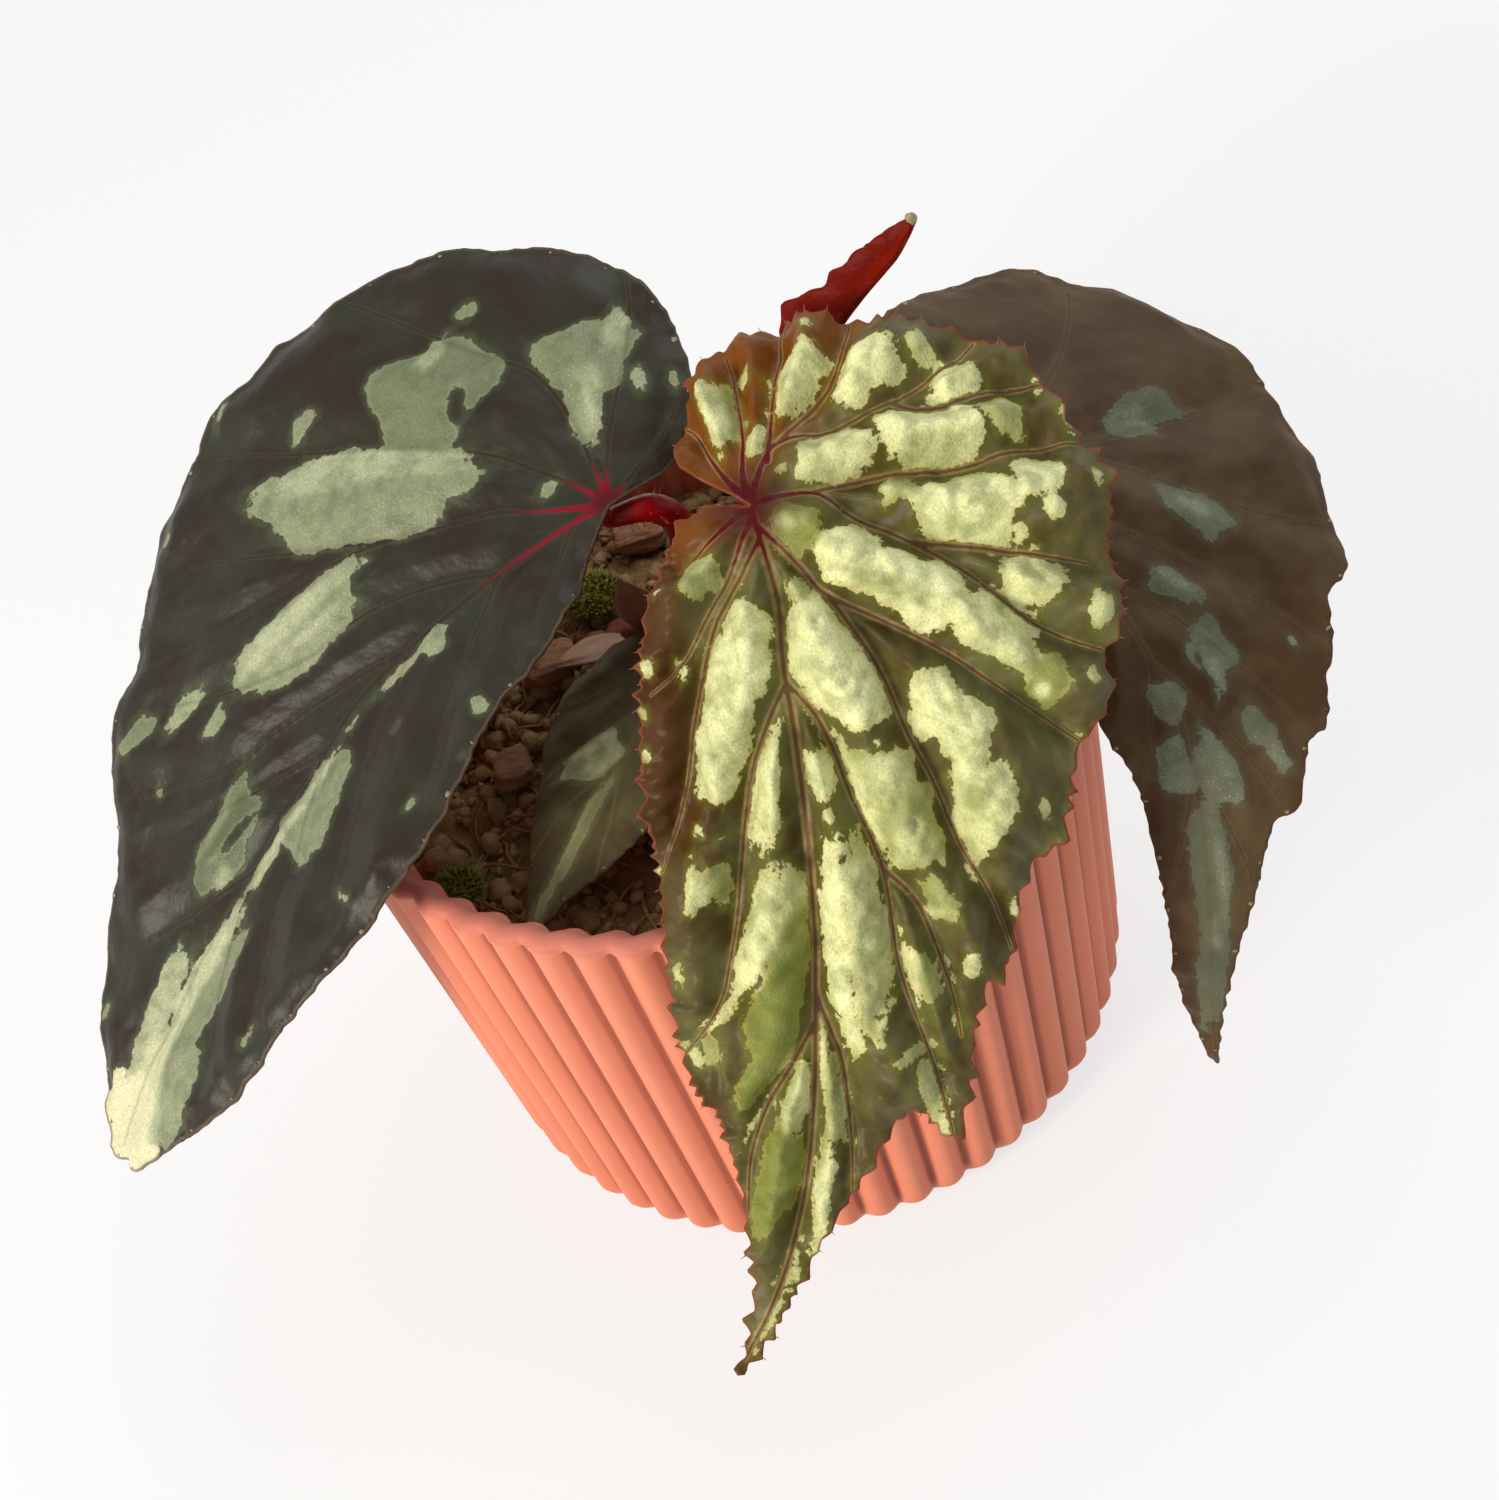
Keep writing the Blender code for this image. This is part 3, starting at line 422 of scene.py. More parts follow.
def through_points(points, spacing):
    """Even samples, about spacing apart, along a Catmull-Rom curve through the points."""
    points = np.asarray(points, float)
    padded = np.vstack([points[:1], points, points[-1:]])
    t = np.arange(12)[:, None] / 12
    spans = []
    for before, start, end, after in zip(padded, padded[1:], padded[2:], padded[3:]):
        spans.append(0.5 * (2 * start + (end - before) * t
                            + (2 * before - 5 * start + 4 * end - after) * t ** 2
                            + (3 * start - before - 3 * end + after) * t ** 3))
    return resample(np.vstack(spans + [points[-1:]]), spacing)


def resample(line, spacing):
    """The same line with even steps of about spacing."""
    lengths = np.concatenate([[0], np.cumsum(np.linalg.norm(np.diff(line, axis=0), axis=1))])
    count = max(int(round(lengths[-1] / spacing)), 1) + 1
    targets = np.linspace(0, lengths[-1], count)
    return np.stack([np.interp(targets, lengths, line[:, axis]) for axis in range(line.shape[1])], 1)


def rough(points, scale, seed):
    """Smooth noise from -1 to 1 at each point, with features about scale across."""
    offset = Vector((seed, 2 * seed, -seed))
    flat = np.zeros((len(points), 3))
    flat[:, :points.shape[1]] = points
    return np.array([noise.noise(Vector(point) / scale + offset) for point in flat])


def sweep(route, radii, sides, spacing, ridge=0.0, lumps=0.0, seed=0):
    """Points and faces of a closed tapering tube along a route, with five ridges and with lumps."""
    line = through_points(route, spacing)
    shares = np.linspace(0, len(radii) - 1, len(line))
    widths = np.interp(shares, range(len(radii)), radii)
    tangents = np.gradient(line, axis=0)
    side = unit(np.cross(tangents[0], (0.3, 0.9, 0.2)))
    points = []
    for index, (centre, tangent, width) in enumerate(zip(line, tangents, widths)):
        tangent = unit(tangent)
        side = unit(side - tangent * np.dot(side, tangent))
        other = np.cross(tangent, side)
        for step in range(sides):
            angle = math.tau * step / sides
            swell = 1 + ridge * math.cos(5 * angle)
            swell += lumps * noise.noise(Vector((index * spacing / 3, 2 * math.cos(angle),
                                                 2 * math.sin(angle) + seed)))
            points.append(centre + (side * math.cos(angle) + other * math.sin(angle)) * width * swell)
    faces = ring_quads(len(line) - 1, sides)
    for ring, flip in ((0, True), (len(line) - 1, False)):
        loop = [ring * sides + step for step in range(sides)]
        points.append(line[ring])
        hub = len(points) - 1
        for first, second in zip(loop, loop[1:] + loop[:1]):
            faces.append((second, first, hub) if flip else (first, second, hub))
    return np.array(points), faces


# ---------------------------------------------------------------- materials

def srgb(red, green, blue):
    """A colour given as screen values from 0 to 255."""
    channels = [value / 255 for value in (red, green, blue)]
    return (*[c / 12.92 if c <= 0.04045 else ((c + 0.055) / 1.055) ** 2.4 for c in channels], 1.0)


def put(tree, socket, value):
    """Link or set a socket, whichever the value is for."""
    if isinstance(value, bpy.types.NodeSocket):
        tree.links.new(value, socket)
    else:
        socket.default_value = value


def add_node(tree, kind, **inputs):
    """A new node; From_Min=2 sets, or links, its socket From Min."""
    node = tree.nodes.new("ShaderNode" + kind)
    for name, value in inputs.items():
        put(tree, node.inputs[name.replace("_", " ")], value)
    return node


def calculate(tree, operation, first, second):
    """The result of a Math node."""
    node = add_node(tree, "Math")
    node.operation = operation
    put(tree, node.inputs[0], first)
    put(tree, node.inputs[1], second)
    return node.outputs[0]


class Paint:
    """A small builder for one Principled material."""

    # sockets of the Mix node when it mixes colours
    COLOUR_A, COLOUR_B, COLOUR_OUT = 6, 7, 2
    # how light spreads under a soft surface
    SUBSURFACE_RADIUS, SUBSURFACE_SCALE = (1.0, 0.5, 0.2), 0.8 * MM

    def __init__(self, name, roughness=0.5, specular=0.5, subsurface=0.0):
        self.material = bpy.data.materials.new(name)
        self.material.use_nodes = True
        self.tree = self.material.node_tree
        self.shader = self.tree.nodes["Principled BSDF"]
        skin = {"Roughness": roughness, "Specular IOR Level": specular, "Subsurface Weight": subsurface}
        if subsurface:
            skin["Subsurface Radius"] = self.SUBSURFACE_RADIUS
            skin["Subsurface Scale"] = self.SUBSURFACE_SCALE
        for socket, value in skin.items():
            put(self.tree, self.shader.inputs[socket], value)
        self.place = add_node(self.tree, "TexCoord").outputs["Object"]

    def attribute(self, name):
        """A value stored at the points of the mesh."""
        node = add_node(self.tree, "Attribute")
        node.attribute_name = name
        return node.outputs["Fac"]

    def noise(self, size, detail=2.0, stretch=None):
        """Noise from 0 to 1 with features about size millimetres across."""
        place = self.place
        if stretch:
            place = add_node(self.tree, "Mapping", Vector=place, Scale=stretch).outputs["Vector"]
        node = add_node(self.tree, "TexNoise", Vector=place, Scale=1 / (size * MM), Detail=detail)
        return node.outputs["Fac"]

    def cells(self, size):
        """Distance to the nearest of many scattered points about size millimetres apart."""
        node = add_node(self.tree, "TexVoronoi", Vector=self.place, Scale=1 / (size * MM))
        return node.outputs["Distance"]

    def math(self, operation, first, second):
        return calculate(self.tree, operation, first, second)

    def times(self, first, second):
        return self.math("MULTIPLY", first, second)

    def step(self, value, low, high, start=0.0, end=1.0):
        """start below low, end above high, and a smooth change between."""
        node = add_node(self.tree, "MapRange", Value=value, From_Min=low, From_Max=high,
                        To_Min=start, To_Max=end)
        node.interpolation_type = "SMOOTHSTEP"
        return node.outputs["Result"]

    def band(self, name, low, high, start=0.0, end=1.0):
        """The same change over the values of an attribute."""
        return self.step(self.attribute(name), low, high, start, end)

    def mix(self, share, first, second):
        """first where share is 0 and second where it is 1."""
        node = add_node(self.tree, "Mix")
        node.data_type = "RGBA"
        put(self.tree, node.inputs["Factor"], share)
        put(self.tree, node.inputs[self.COLOUR_A], first)
        put(self.tree, node.inputs[self.COLOUR_B], second)
        return node.outputs[self.COLOUR_OUT]

    def bump(self, height, distance, strength=1.0, below=None):
        """A normal from a height, laid over another normal if below is given."""
        node = add_node(self.tree, "Bump", Strength=strength, Distance=distance * MM, Height=height)
        if below is not None:
            put(self.tree, node.inputs["Normal"], below)
        return node.outputs["Normal"]

    def finish(self, colour, normal=None, roughness=None):
        """Sets the shader's own sockets and gives the material."""
        for socket, value in (("Base Color", colour), ("Normal", normal), ("Roughness", roughness)):
            if value is not None:
                put(self.tree, self.shader.inputs[socket], value)
        return self.material


# The second colour here is the white of painted glints, sparkles of light on the silver.
CREAM, PAINTED_GLINT, JOINT_RED = srgb(238, 230, 188), srgb(252, 253, 228), srgb(70, 2, 4)
PLAIN_BROWN = srgb(80, 62, 48)

# base and base_dark are the ground; silver, green and gilt a blotch's pale part, its dull part and
# its rim; vein, flank and margin the lines; the orange and brown tints are painted light: a glow
# through the blade by its joint and a shade on one side; crimson the red part of the veins.
BLADE_LOOKS = {
    "leaf_left": dict(
        base=srgb(45, 46, 32), base_dark=srgb(40, 31, 21), silver=srgb(196, 202, 162),
        green=srgb(84, 94, 65), gilt=srgb(140, 148, 112), vein=srgb(44, 32, 25),
        flank=srgb(78, 70, 54), margin=srgb(98, 80, 64), crimson=srgb(130, 0, 30), painted_glint_strength=0.8,
        roughness=0.42, specular=0.2, vein_strength=0.9, ragged_depth=1.2, mottle_and_sheen=0.4),
    "leaf_centre": dict(
        base=srgb(106, 104, 64), base_dark=srgb(80, 68, 32), silver=srgb(250, 252, 190),
        green=srgb(112, 120, 36), gilt=srgb(180, 152, 74), vein=srgb(86, 50, 30),
        flank=srgb(166, 140, 84), margin=srgb(134, 66, 42), crimson=srgb(92, 0, 8),
        painted_glow_zone=srgb(118, 62, 0), painted_shade=srgb(76, 46, 14), flank_strength=0.6, painted_glint_strength=0.9,
        roughness=0.42, specular=0.14, vein_strength=0.8, star_reach=7.0, ragged_depth=1.5,
        fringe_depth=0.6, mottle_and_sheen=0.4),
    "leaf_right": dict(
        base=srgb(92, 74, 48), base_dark=srgb(74, 52, 30), silver=srgb(152, 158, 134),
        green=srgb(92, 94, 70), gilt=srgb(102, 102, 80), vein=srgb(70, 50, 34),
        flank=srgb(114, 92, 66), margin=srgb(104, 66, 46), crimson=srgb(84, 0, 10), painted_glint_strength=0.7,
        specular=0.14, vein_strength=0.5, ragged_depth=1.3, mottle_and_sheen=0.5),
    "leaf_lower": dict(
        base=srgb(104, 98, 66), base_dark=srgb(84, 72, 46), silver=srgb(214, 218, 168),
        green=srgb(134, 138, 92), gilt=srgb(150, 150, 108), vein=srgb(120, 116, 84),
        flank=srgb(104, 98, 68), margin=srgb(104, 76, 56), crimson=srgb(84, 0, 10), painted_glint_strength=0.3,
        vein_strength=0.3, ragged_depth=0.5),
}


def blade_material(name, base, base_dark, silver, green, gilt, vein, flank, margin, crimson,
                   painted_glint_strength, vein_strength, ragged_depth, painted_glow_zone=PLAIN_BROWN, painted_shade=PLAIN_BROWN,
                   flank_strength=0.2, roughness=0.5, specular=0.12, star_reach=3.0,
                   fringe_depth=0.25, mottle_and_sheen=0.8):
    """Upper side of a blade: ground colour, silver blotches, veins, margin and the red joint."""
    paint = Paint(name, roughness=roughness, specular=specular, subsurface=0.1)
    # the ground between the blotches
    ground = paint.mix(paint.step(paint.noise(7.0, 3), 0.35, 0.65), base_dark, base)
    ground = paint.mix(paint.band("swell", 0.25, 0.9, 0.0, 0.6), ground, base_dark)
    ground = paint.mix(paint.step(paint.noise(1.4, 4), 0.3, 0.75, 0.0, 0.25), ground, base_dark)
    # painted light: an orange glow of light shining through the blade near its joint
    ground = paint.mix(paint.times(paint.attribute("painted_glow_zone"), 0.95), ground, painted_glow_zone)
    # painted shade: the brown of the blade's shaded side
    ground = paint.mix(paint.attribute("painted_shade"), ground, painted_shade)
    # the pale of the blotches, from dull green to cream
    grain = paint.noise(0.3, 3)
    pale = paint.mix(paint.attribute("tone"), green, silver)
    # random patches of dull green in the pale: partly the blotches' own mottling, partly painted sheen, the
    # pale between them standing for streaks of sheen
    pale = paint.mix(paint.step(paint.noise(2.4, 3), 0.42, 0.66, 0.0, mottle_and_sheen), pale, green)
    pale = paint.mix(paint.band("tone", 0.95, 1.3, 0.0, 0.8), pale, CREAM)
    pale = paint.mix(paint.step(grain, 0.3, 0.7, 0.3, 0.0), pale, green)
    # the blotches' uneven edge, with a rim inside it and a faint halo outside
    ragged = paint.times(paint.math("SUBTRACT", paint.noise(1.2, 4), 0.5), ragged_depth)
    fringe = paint.times(paint.math("SUBTRACT", paint.noise(0.45, 2), 0.5), fringe_depth)
    field = paint.math("ADD", paint.attribute("silver"), paint.math("ADD", ragged, fringe))
    inside = paint.step(field, 0.0, 0.16)
    rim = paint.times(paint.step(field, 0.6, 0.05), inside)
    pale = paint.mix(paint.times(rim, 0.4), pale, gilt)
    halo = paint.step(field, -0.7, 0.0, 0.0, 0.35)
    ground = paint.mix(halo, ground, green)
    colour = paint.mix(inside, ground, pale)
    # painted glints: bright flecks standing for sparkles of light on the silver; then the veins with their
    # flanks, the red joint and the margin
    painted_glints = paint.times(paint.step(paint.cells(0.42), 0.2, 0.08), inside)
    painted_glints = paint.times(painted_glints, paint.attribute("tone"))
    colour = paint.mix(paint.times(painted_glints, painted_glint_strength), colour, PAINTED_GLINT)
    on_flank = paint.times(paint.band("vein", 2.3, 1.4),
                          paint.step(paint.noise(1.5, 3), 0.3, 0.6, 0.2, flank_strength))
    colour = paint.mix(on_flank, colour, flank)
    # the veins are their own crimson in the same zone by the joint as the painted glow
    line = paint.mix(paint.attribute("painted_glow_zone"), vein, crimson)
    line = paint.mix(paint.times(inside, 0.75), line, pale)
    on_vein = paint.band("vein", 0.95, 0.45, 0.0, vein_strength)
    colour = paint.mix(on_vein, colour, line)
    on_side = paint.band("side", 0.3, 0.05, 0.0, 0.16)
    colour = paint.mix(on_side, colour, vein)
    colour = paint.mix(paint.band("red", -0.12, 0.06), colour, crimson)
    star = paint.band("joint", star_reach, 0.8, 0.0, 0.92)
    colour = paint.mix(star, colour, JOINT_RED)
    edge = paint.band("edge", 0.4, 0.05, 0.0, 0.8)
    colour = paint.mix(edge, colour, margin)
    height = paint.math("ADD", paint.times(grain, inside),
                        paint.times(paint.noise(0.9, 3), 0.7))
    normal = paint.bump(height, 0.2, 0.6)
    return paint.finish(colour, normal, paint.step(inside, 0.0, 1.0, roughness, roughness - 0.12))


def underside_material(name, base, vein):
    """Lower side of a blade, with its veins in another red."""
    paint = Paint(name, roughness=0.55, specular=0.35, subsurface=0.12)
    ground = paint.mix(paint.noise(5.0, 3), base, tuple(0.7 * c for c in base[:3]) + (1.0,))
    colour = paint.mix(paint.band("vein", 1.6, 0.5), ground, vein)
    colour = paint.mix(paint.band("side", 0.7, 0.15, 0.0, 0.6), colour, vein)
    return paint.finish(colour, paint.bump(paint.noise(0.7, 3), 0.15, 0.5))


def pot_material():
    """Matt terracotta, with painted shade: darker in the grooves, and darker and pinker on the lip."""
    paint = Paint("matt_clay_glaze", roughness=0.58, specular=0.3, subsurface=0.06)
    clay = paint.mix(paint.noise(16.0, 3), srgb(220, 128, 98), srgb(232, 142, 112))
    # painted shade: the clay is darker down in the grooves
    clay = paint.mix(paint.band("painted_groove_shade", 0.0, 0.5), srgb(158, 80, 58), clay)
    clay = paint.mix(paint.step(paint.noise(0.6, 2), 0.64, 0.8, 0.0, 0.12), clay, srgb(190, 108, 84))
    # painted shade on the lip, whose top faces away from the key light: darker and pinker clay
    clay = paint.mix(paint.band("lip", 0.0, 1.0, 0.0, 0.8), clay, srgb(200, 116, 100))
    normal = paint.bump(paint.noise(0.4, 3), 0.05, 0.4, paint.bump(paint.noise(5.0, 2), 0.2, 0.35))
    return paint.finish(clay, normal)


def young_material():
    """Dark red blade, lighter beside its midrib."""
    paint = Paint("young_red_blade", roughness=0.5, specular=0.1, subsurface=0.05)
    colour = paint.mix(paint.noise(3.0, 3), srgb(92, 2, 0), srgb(128, 22, 2))
    colour = paint.mix(paint.band("rib", 0.5, 0.1, 0.0, 0.5), colour, srgb(146, 32, 10))
    return paint.finish(colour, paint.bump(paint.noise(0.6, 3), 0.2, 0.7))


# The plainer materials: grain is the noise (size, detail, stretch) that mixes the dark and the light
# colour; specks are a second noise, its limits and the speck's colour; relief is the noise of the
# bump, with its height and strength; skin is (roughness, specular, subsurface).
ALONG_X, ALONG_Z, ALONG_STALK = (0.35, 1.0, 1.0), (1.0, 1.0, 0.3), (1.0, 1.0, 0.25)
PLAIN_LOOKS = {
    "potting_soil": dict(
        grain=(2.2, 4), dark=(84, 62, 36), light=(168, 134, 84),
        specks=((0.8, 3), (0.58, 0.72, 0.0, 0.7), (176, 142, 96)),
        relief=((0.5, 4), 0.5, 0.9), skin=(0.92, 0.15, 0.0)),
    "soil_crumbs": dict(
        grain=(1.6, 4), dark=(104, 78, 48), light=(196, 164, 116),
        relief=((0.5, 4), 0.4, 0.8), skin=(0.9, 0.15, 0.0)),
    "coco_fibre": dict(
        grain=(3.0, 3), dark=(112, 74, 42), light=(190, 146, 98),
        relief=((0.3, 2), 0.1, 0.6), skin=(0.8, 0.2, 0.0)),
    "moss": dict(
        grain=(1.2, 3), dark=(88, 92, 24), light=(160, 160, 62),
        relief=((0.3, 2), 0.1, 0.6), skin=(0.7, 0.25, 0.1)),
    "bark": dict(
        grain=(1.1, 4, ALONG_X), dark=(100, 68, 44), light=(182, 138, 100),
        relief=((0.6, 4, (0.3, 1.0, 1.0)), 0.5, 0.9), skin=(0.85, 0.2, 0.0)),
    "red_stalk": dict(
        grain=(3.0, 3), dark=(116, 0, 6), light=(158, 2, 20),
        specks=((0.7, 3), (0.64, 0.76, 0.0, 0.4), (176, 60, 60)),
        relief=((0.8, 3, ALONG_STALK), 0.2, 0.6), skin=(0.38, 0.2, 0.08)),
    "pale_hairs": dict(
        grain=(1.0, 2), dark=(128, 48, 36), light=(176, 92, 74), skin=(0.4, 0.5, 0.1)),
    "margin_glands": dict(
        grain=(1.0, 2), dark=(104, 92, 78), light=(158, 148, 128), skin=(0.4, 0.4, 0.1)),
    "young_tip": dict(
        grain=(0.7, 3), dark=(120, 108, 76), light=(186, 172, 138),
        relief=((0.4, 2), 0.15, 0.7), skin=(0.6, 0.25, 0.0)),
    "papery_scale": dict(
        grain=(1.6, 4, ALONG_Z), dark=(126, 88, 62), light=(186, 146, 112),
        relief=((0.6, 3, ALONG_Z), 0.15, 0.7), skin=(0.5, 0.4, 0.2)),
    "crown_skin": dict(
        grain=(1.5, 4), dark=(70, 26, 20), light=(140, 64, 44),
        relief=((0.8, 4), 0.4, 0.8), skin=(0.6, 0.35, 0.0)),
}


def plain_material(name):
    """One of the plainer materials, from its row in the table."""
    look = PLAIN_LOOKS[name]
    paint = Paint(name, *look["skin"])
    colour = paint.mix(paint.noise(*look["grain"]), srgb(*look["dark"]), srgb(*look["light"]))
    if "specks" in look:
        noise_of, limits, speck = look["specks"]
        colour = paint.mix(paint.step(paint.noise(*noise_of), *limits), colour, srgb(*speck))
    normal = None
    if "relief" in look:
        noise_of, height, strength = look["relief"]
        normal = paint.bump(paint.noise(*noise_of), height, strength)
    return paint.finish(colour, normal)


# ---------------------------------------------------------------- pot

def wall_radius(height):
    """Outer radius of the pot's wall at a height."""
    return BASE_RADIUS + (RIM_RADIUS - BASE_RADIUS) * height / POT_HEIGHT


def pot_profile():
    """Rows of (radius, height, flute depth, 0 outside to 1 inside), from the underside to the floor."""
    lip, outer, inner = WALL / 2, FLUTE_DEPTH, INNER_FLUTE_DEPTH
    foot = wall_radius(0) - BASE_ROUND
    rows = [(0.0, FOOT_HOLLOW, 0.0, 0.0), (foot - FOOT_WIDTH - 1.0, FOOT_HOLLOW, 0.0, 0.0),
            (foot - FOOT_WIDTH, 0.0, 0.0, 0.0), (foot, 0.0, 0.0, 0.0)]
    for step in range(1, 7):
        turn = math.pi / 2 * step / 6
        rows.append((wall_radius(BASE_ROUND) - BASE_ROUND * (1 - math.sin(turn)),
                     BASE_ROUND * (1 - math.cos(turn)), outer * step / 6, 0.0))
    for height in np.linspace(BASE_ROUND + 3, POT_HEIGHT - lip, 16):
        rows.append((wall_radius(height), height, outer, 0.0))
    for step in range(1, 12):
        turn = math.pi * step / 12
        level = outer + (inner - outer) * step / 12
        rows.append((RIM_RADIUS - lip + lip * math.cos(turn), POT_HEIGHT - lip + lip * math.sin(turn),
                     level * (1 - LIP_FADE * math.sin(turn) ** 0.7), step / 12))
    for height in np.linspace(POT_HEIGHT - lip, FLOOR, 14):
        rows.append((wall_radius(height) - WALL, height, inner, 1.0))
    return rows + [(0.0, FLOOR, 0.0, 1.0)]


def broad(share):
    """Widens the crests of the flutes and narrows their grooves."""
    start, power = 0.02, 0.4
    return ((share + start) ** power - start ** power) / ((1 + start) ** power - start ** power)


def make_pot():
    """The turned profile, with flutes pressed into it row by row."""
    lip, outer, profile = WALL / 2, FLUTE_DEPTH, pot_profile()
    segments = FLUTES * FLUTE_SEGMENTS
    angles = FLUTE_PHASE + math.tau * np.arange(segments) / segments
    wave = np.sin(FLUTES * (angles - FLUTE_PHASE) / 2) ** 2
    points, painted_groove_shade, lip_shade = [], [], []
    for radius, height, depth, turned in profile[1:-1]:
        crest = (1 - turned) * broad(wave) + turned * (1 - broad(1 - wave))
        reach = radius - depth * (1 - crest)
        points.append(np.stack([POT_AXIS[0] + reach * np.cos(angles),
                                POT_AXIS[1] + reach * np.sin(angles),
                                np.full(segments, height)], 1))
        # painted shade in the grooves: 1 on the crests and less down in the grooves
        painted_groove_shade.append(1 - (1 - crest) * min(1.0, depth / outer))
        # how much painted shade the top of the lip gets
        lip_shade_share = smoothstep(height, POT_HEIGHT - 0.9 * lip, POT_HEIGHT - 0.3 * lip)
        lip_shade.append(np.full(segments, lip_shade_share))
    count = len(points)
    points = np.vstack(points + [[[*POT_AXIS, profile[0][1]], [*POT_AXIS, profile[-1][1]]]])
    painted_groove_shade = np.concatenate(painted_groove_shade + [[1.0, 1.0]])
    lip_shade = np.concatenate(lip_shade + [[0.0, 0.0]])
    faces = ring_quads(count - 1, segments)
    bottom, top = count * segments, count * segments + 1
    for index in range(segments):
        after = (index + 1) % segments
        faces.append((after, index, bottom))
        faces.append(((count - 1) * segments + index, (count - 1) * segments + after, top))
    new_piece("fluted_pot", points, faces, [pot_material()], "pot", ["pot"],
              attributes={"painted_groove_shade": painted_groove_shade, "lip": lip_shade})


# ---------------------------------------------------------------- soil and what lies on it

def soil_height(x, y):
    """Height of the soil's surface, without its crumbs."""
    def bump(centre, spread):
        return math.exp(-((x - centre[0]) ** 2 + (y - centre[1]) ** 2) / (2 * spread ** 2))

    uneven = noise.noise(Vector((x / 7, y / 7, 3))) * SOIL_ROUGHNESS
    return (SOIL_EDGE_HEIGHT + MOUND_RISE * bump(MOUND_CENTRE, MOUND_SPREAD)
            - HOLLOW_DEPTH * bump(HOLLOW_CENTRE, HOLLOW_SPREAD) + uneven)


GOLDEN = (1 + 5 ** 0.5) / 2
ICOSAHEDRON = [(-1, GOLDEN, 0), (1, GOLDEN, 0), (-1, -GOLDEN, 0), (1, -GOLDEN, 0),
               (0, -1, GOLDEN), (0, 1, GOLDEN), (0, -1, -GOLDEN), (0, 1, -GOLDEN),
               (GOLDEN, 0, -1), (GOLDEN, 0, 1), (-GOLDEN, 0, -1), (-GOLDEN, 0, 1)]
ICOSAHEDRON_FACES = [(0, 11, 5), (0, 5, 1), (0, 1, 7), (0, 7, 10), (0, 10, 11), (1, 5, 9), (5, 11, 4),
                     (11, 10, 2), (10, 7, 6), (7, 1, 8), (3, 9, 4), (3, 4, 2), (3, 2, 6), (3, 6, 8),
                     (3, 8, 9), (4, 9, 5), (2, 4, 11), (6, 2, 10), (8, 6, 7), (9, 8, 1)]


def lump(chooser, centre, radius, squash=0.7):
    """A small irregular clod."""
    turn = Euler([chooser.uniform(0, math.tau) for _ in range(3)]).to_matrix()
    stretch = Vector([chooser.uniform(0.6, 1.25) for _ in range(3)])
    points = []
    for corner in ICOSAHEDRON:
        point = Vector(corner).normalized() * radius * chooser.uniform(0.75, 1.2)
        point = turn @ Vector(a * b for a, b in zip(point, stretch))
        points.append((centre[0] + point.x, centre[1] + point.y, centre[2] + point.z * squash))
    return points, ICOSAHEDRON_FACES


def thread(chooser, start, length, radius, lift, limit):
    """A bent fibre lying on the soil, no farther than limit from the pot's axis."""
    heading = chooser.uniform(0, math.tau)
    points = [np.array(start, float)]
    for _ in range(4):
        heading += chooser.uniform(-0.7, 0.7)
        step = np.array([math.cos(heading), math.sin(heading), 0]) * length / 4
        spot = points[-1] + step
        spot[:2] *= min(1.0, limit / math.hypot(spot[0], spot[1]))
        spot[2] = soil_height(spot[0], spot[1]) + chooser.uniform(0, lift)
        points.append(spot)
    return sweep(points, (radius, radius, 0.5 * radius), 4, length / 7)


def soil_spot(chooser, reach, share):
    """A random spot on the soil, evenly spread over share of the disc of that reach."""
    angle, away = chooser.uniform(0, math.tau), reach * math.sqrt(chooser.uniform(0, share))
    x, y = away * math.cos(angle), away * math.sin(angle)
    return x, y, soil_height(x, y)


def soil_body(radius, floor_height):
    """The bed: an uneven top in rings round the axis, a side and a flat underside."""
    points = [(0.0, 0.0, soil_height(0, 0))]
    angles = [math.tau * segment / SOIL_SEGMENTS for segment in range(SOIL_SEGMENTS)]
    for ring in range(1, SOIL_RINGS + 1):
        reach = radius * (ring / SOIL_RINGS) ** 0.85
        for angle in angles:
            x, y = reach * math.cos(angle), reach * math.sin(angle)
            fine = 0.9 * noise.noise(Vector((x / 2.4, y / 2.4, 9)))
            fine += 0.5 * noise.noise(Vector((x / 0.9, y / 0.9, 4)))
            points.append((x, y, soil_height(x, y) + fine))
    base, reach = len(points), radius - 2.4
    points += [(reach * math.cos(angle), reach * math.sin(angle), floor_height) for angle in angles]
    points.append((0.0, 0.0, floor_height))
    faces = ring_quads(SOIL_RINGS, SOIL_SEGMENTS, start=1, flip=True)
    for segment in range(SOIL_SEGMENTS):
        after = (segment + 1) % SOIL_SEGMENTS
        faces.append((0, 1 + segment, 1 + after))
        faces.append((base + segment, base + SOIL_SEGMENTS, base + after))
    return points, faces


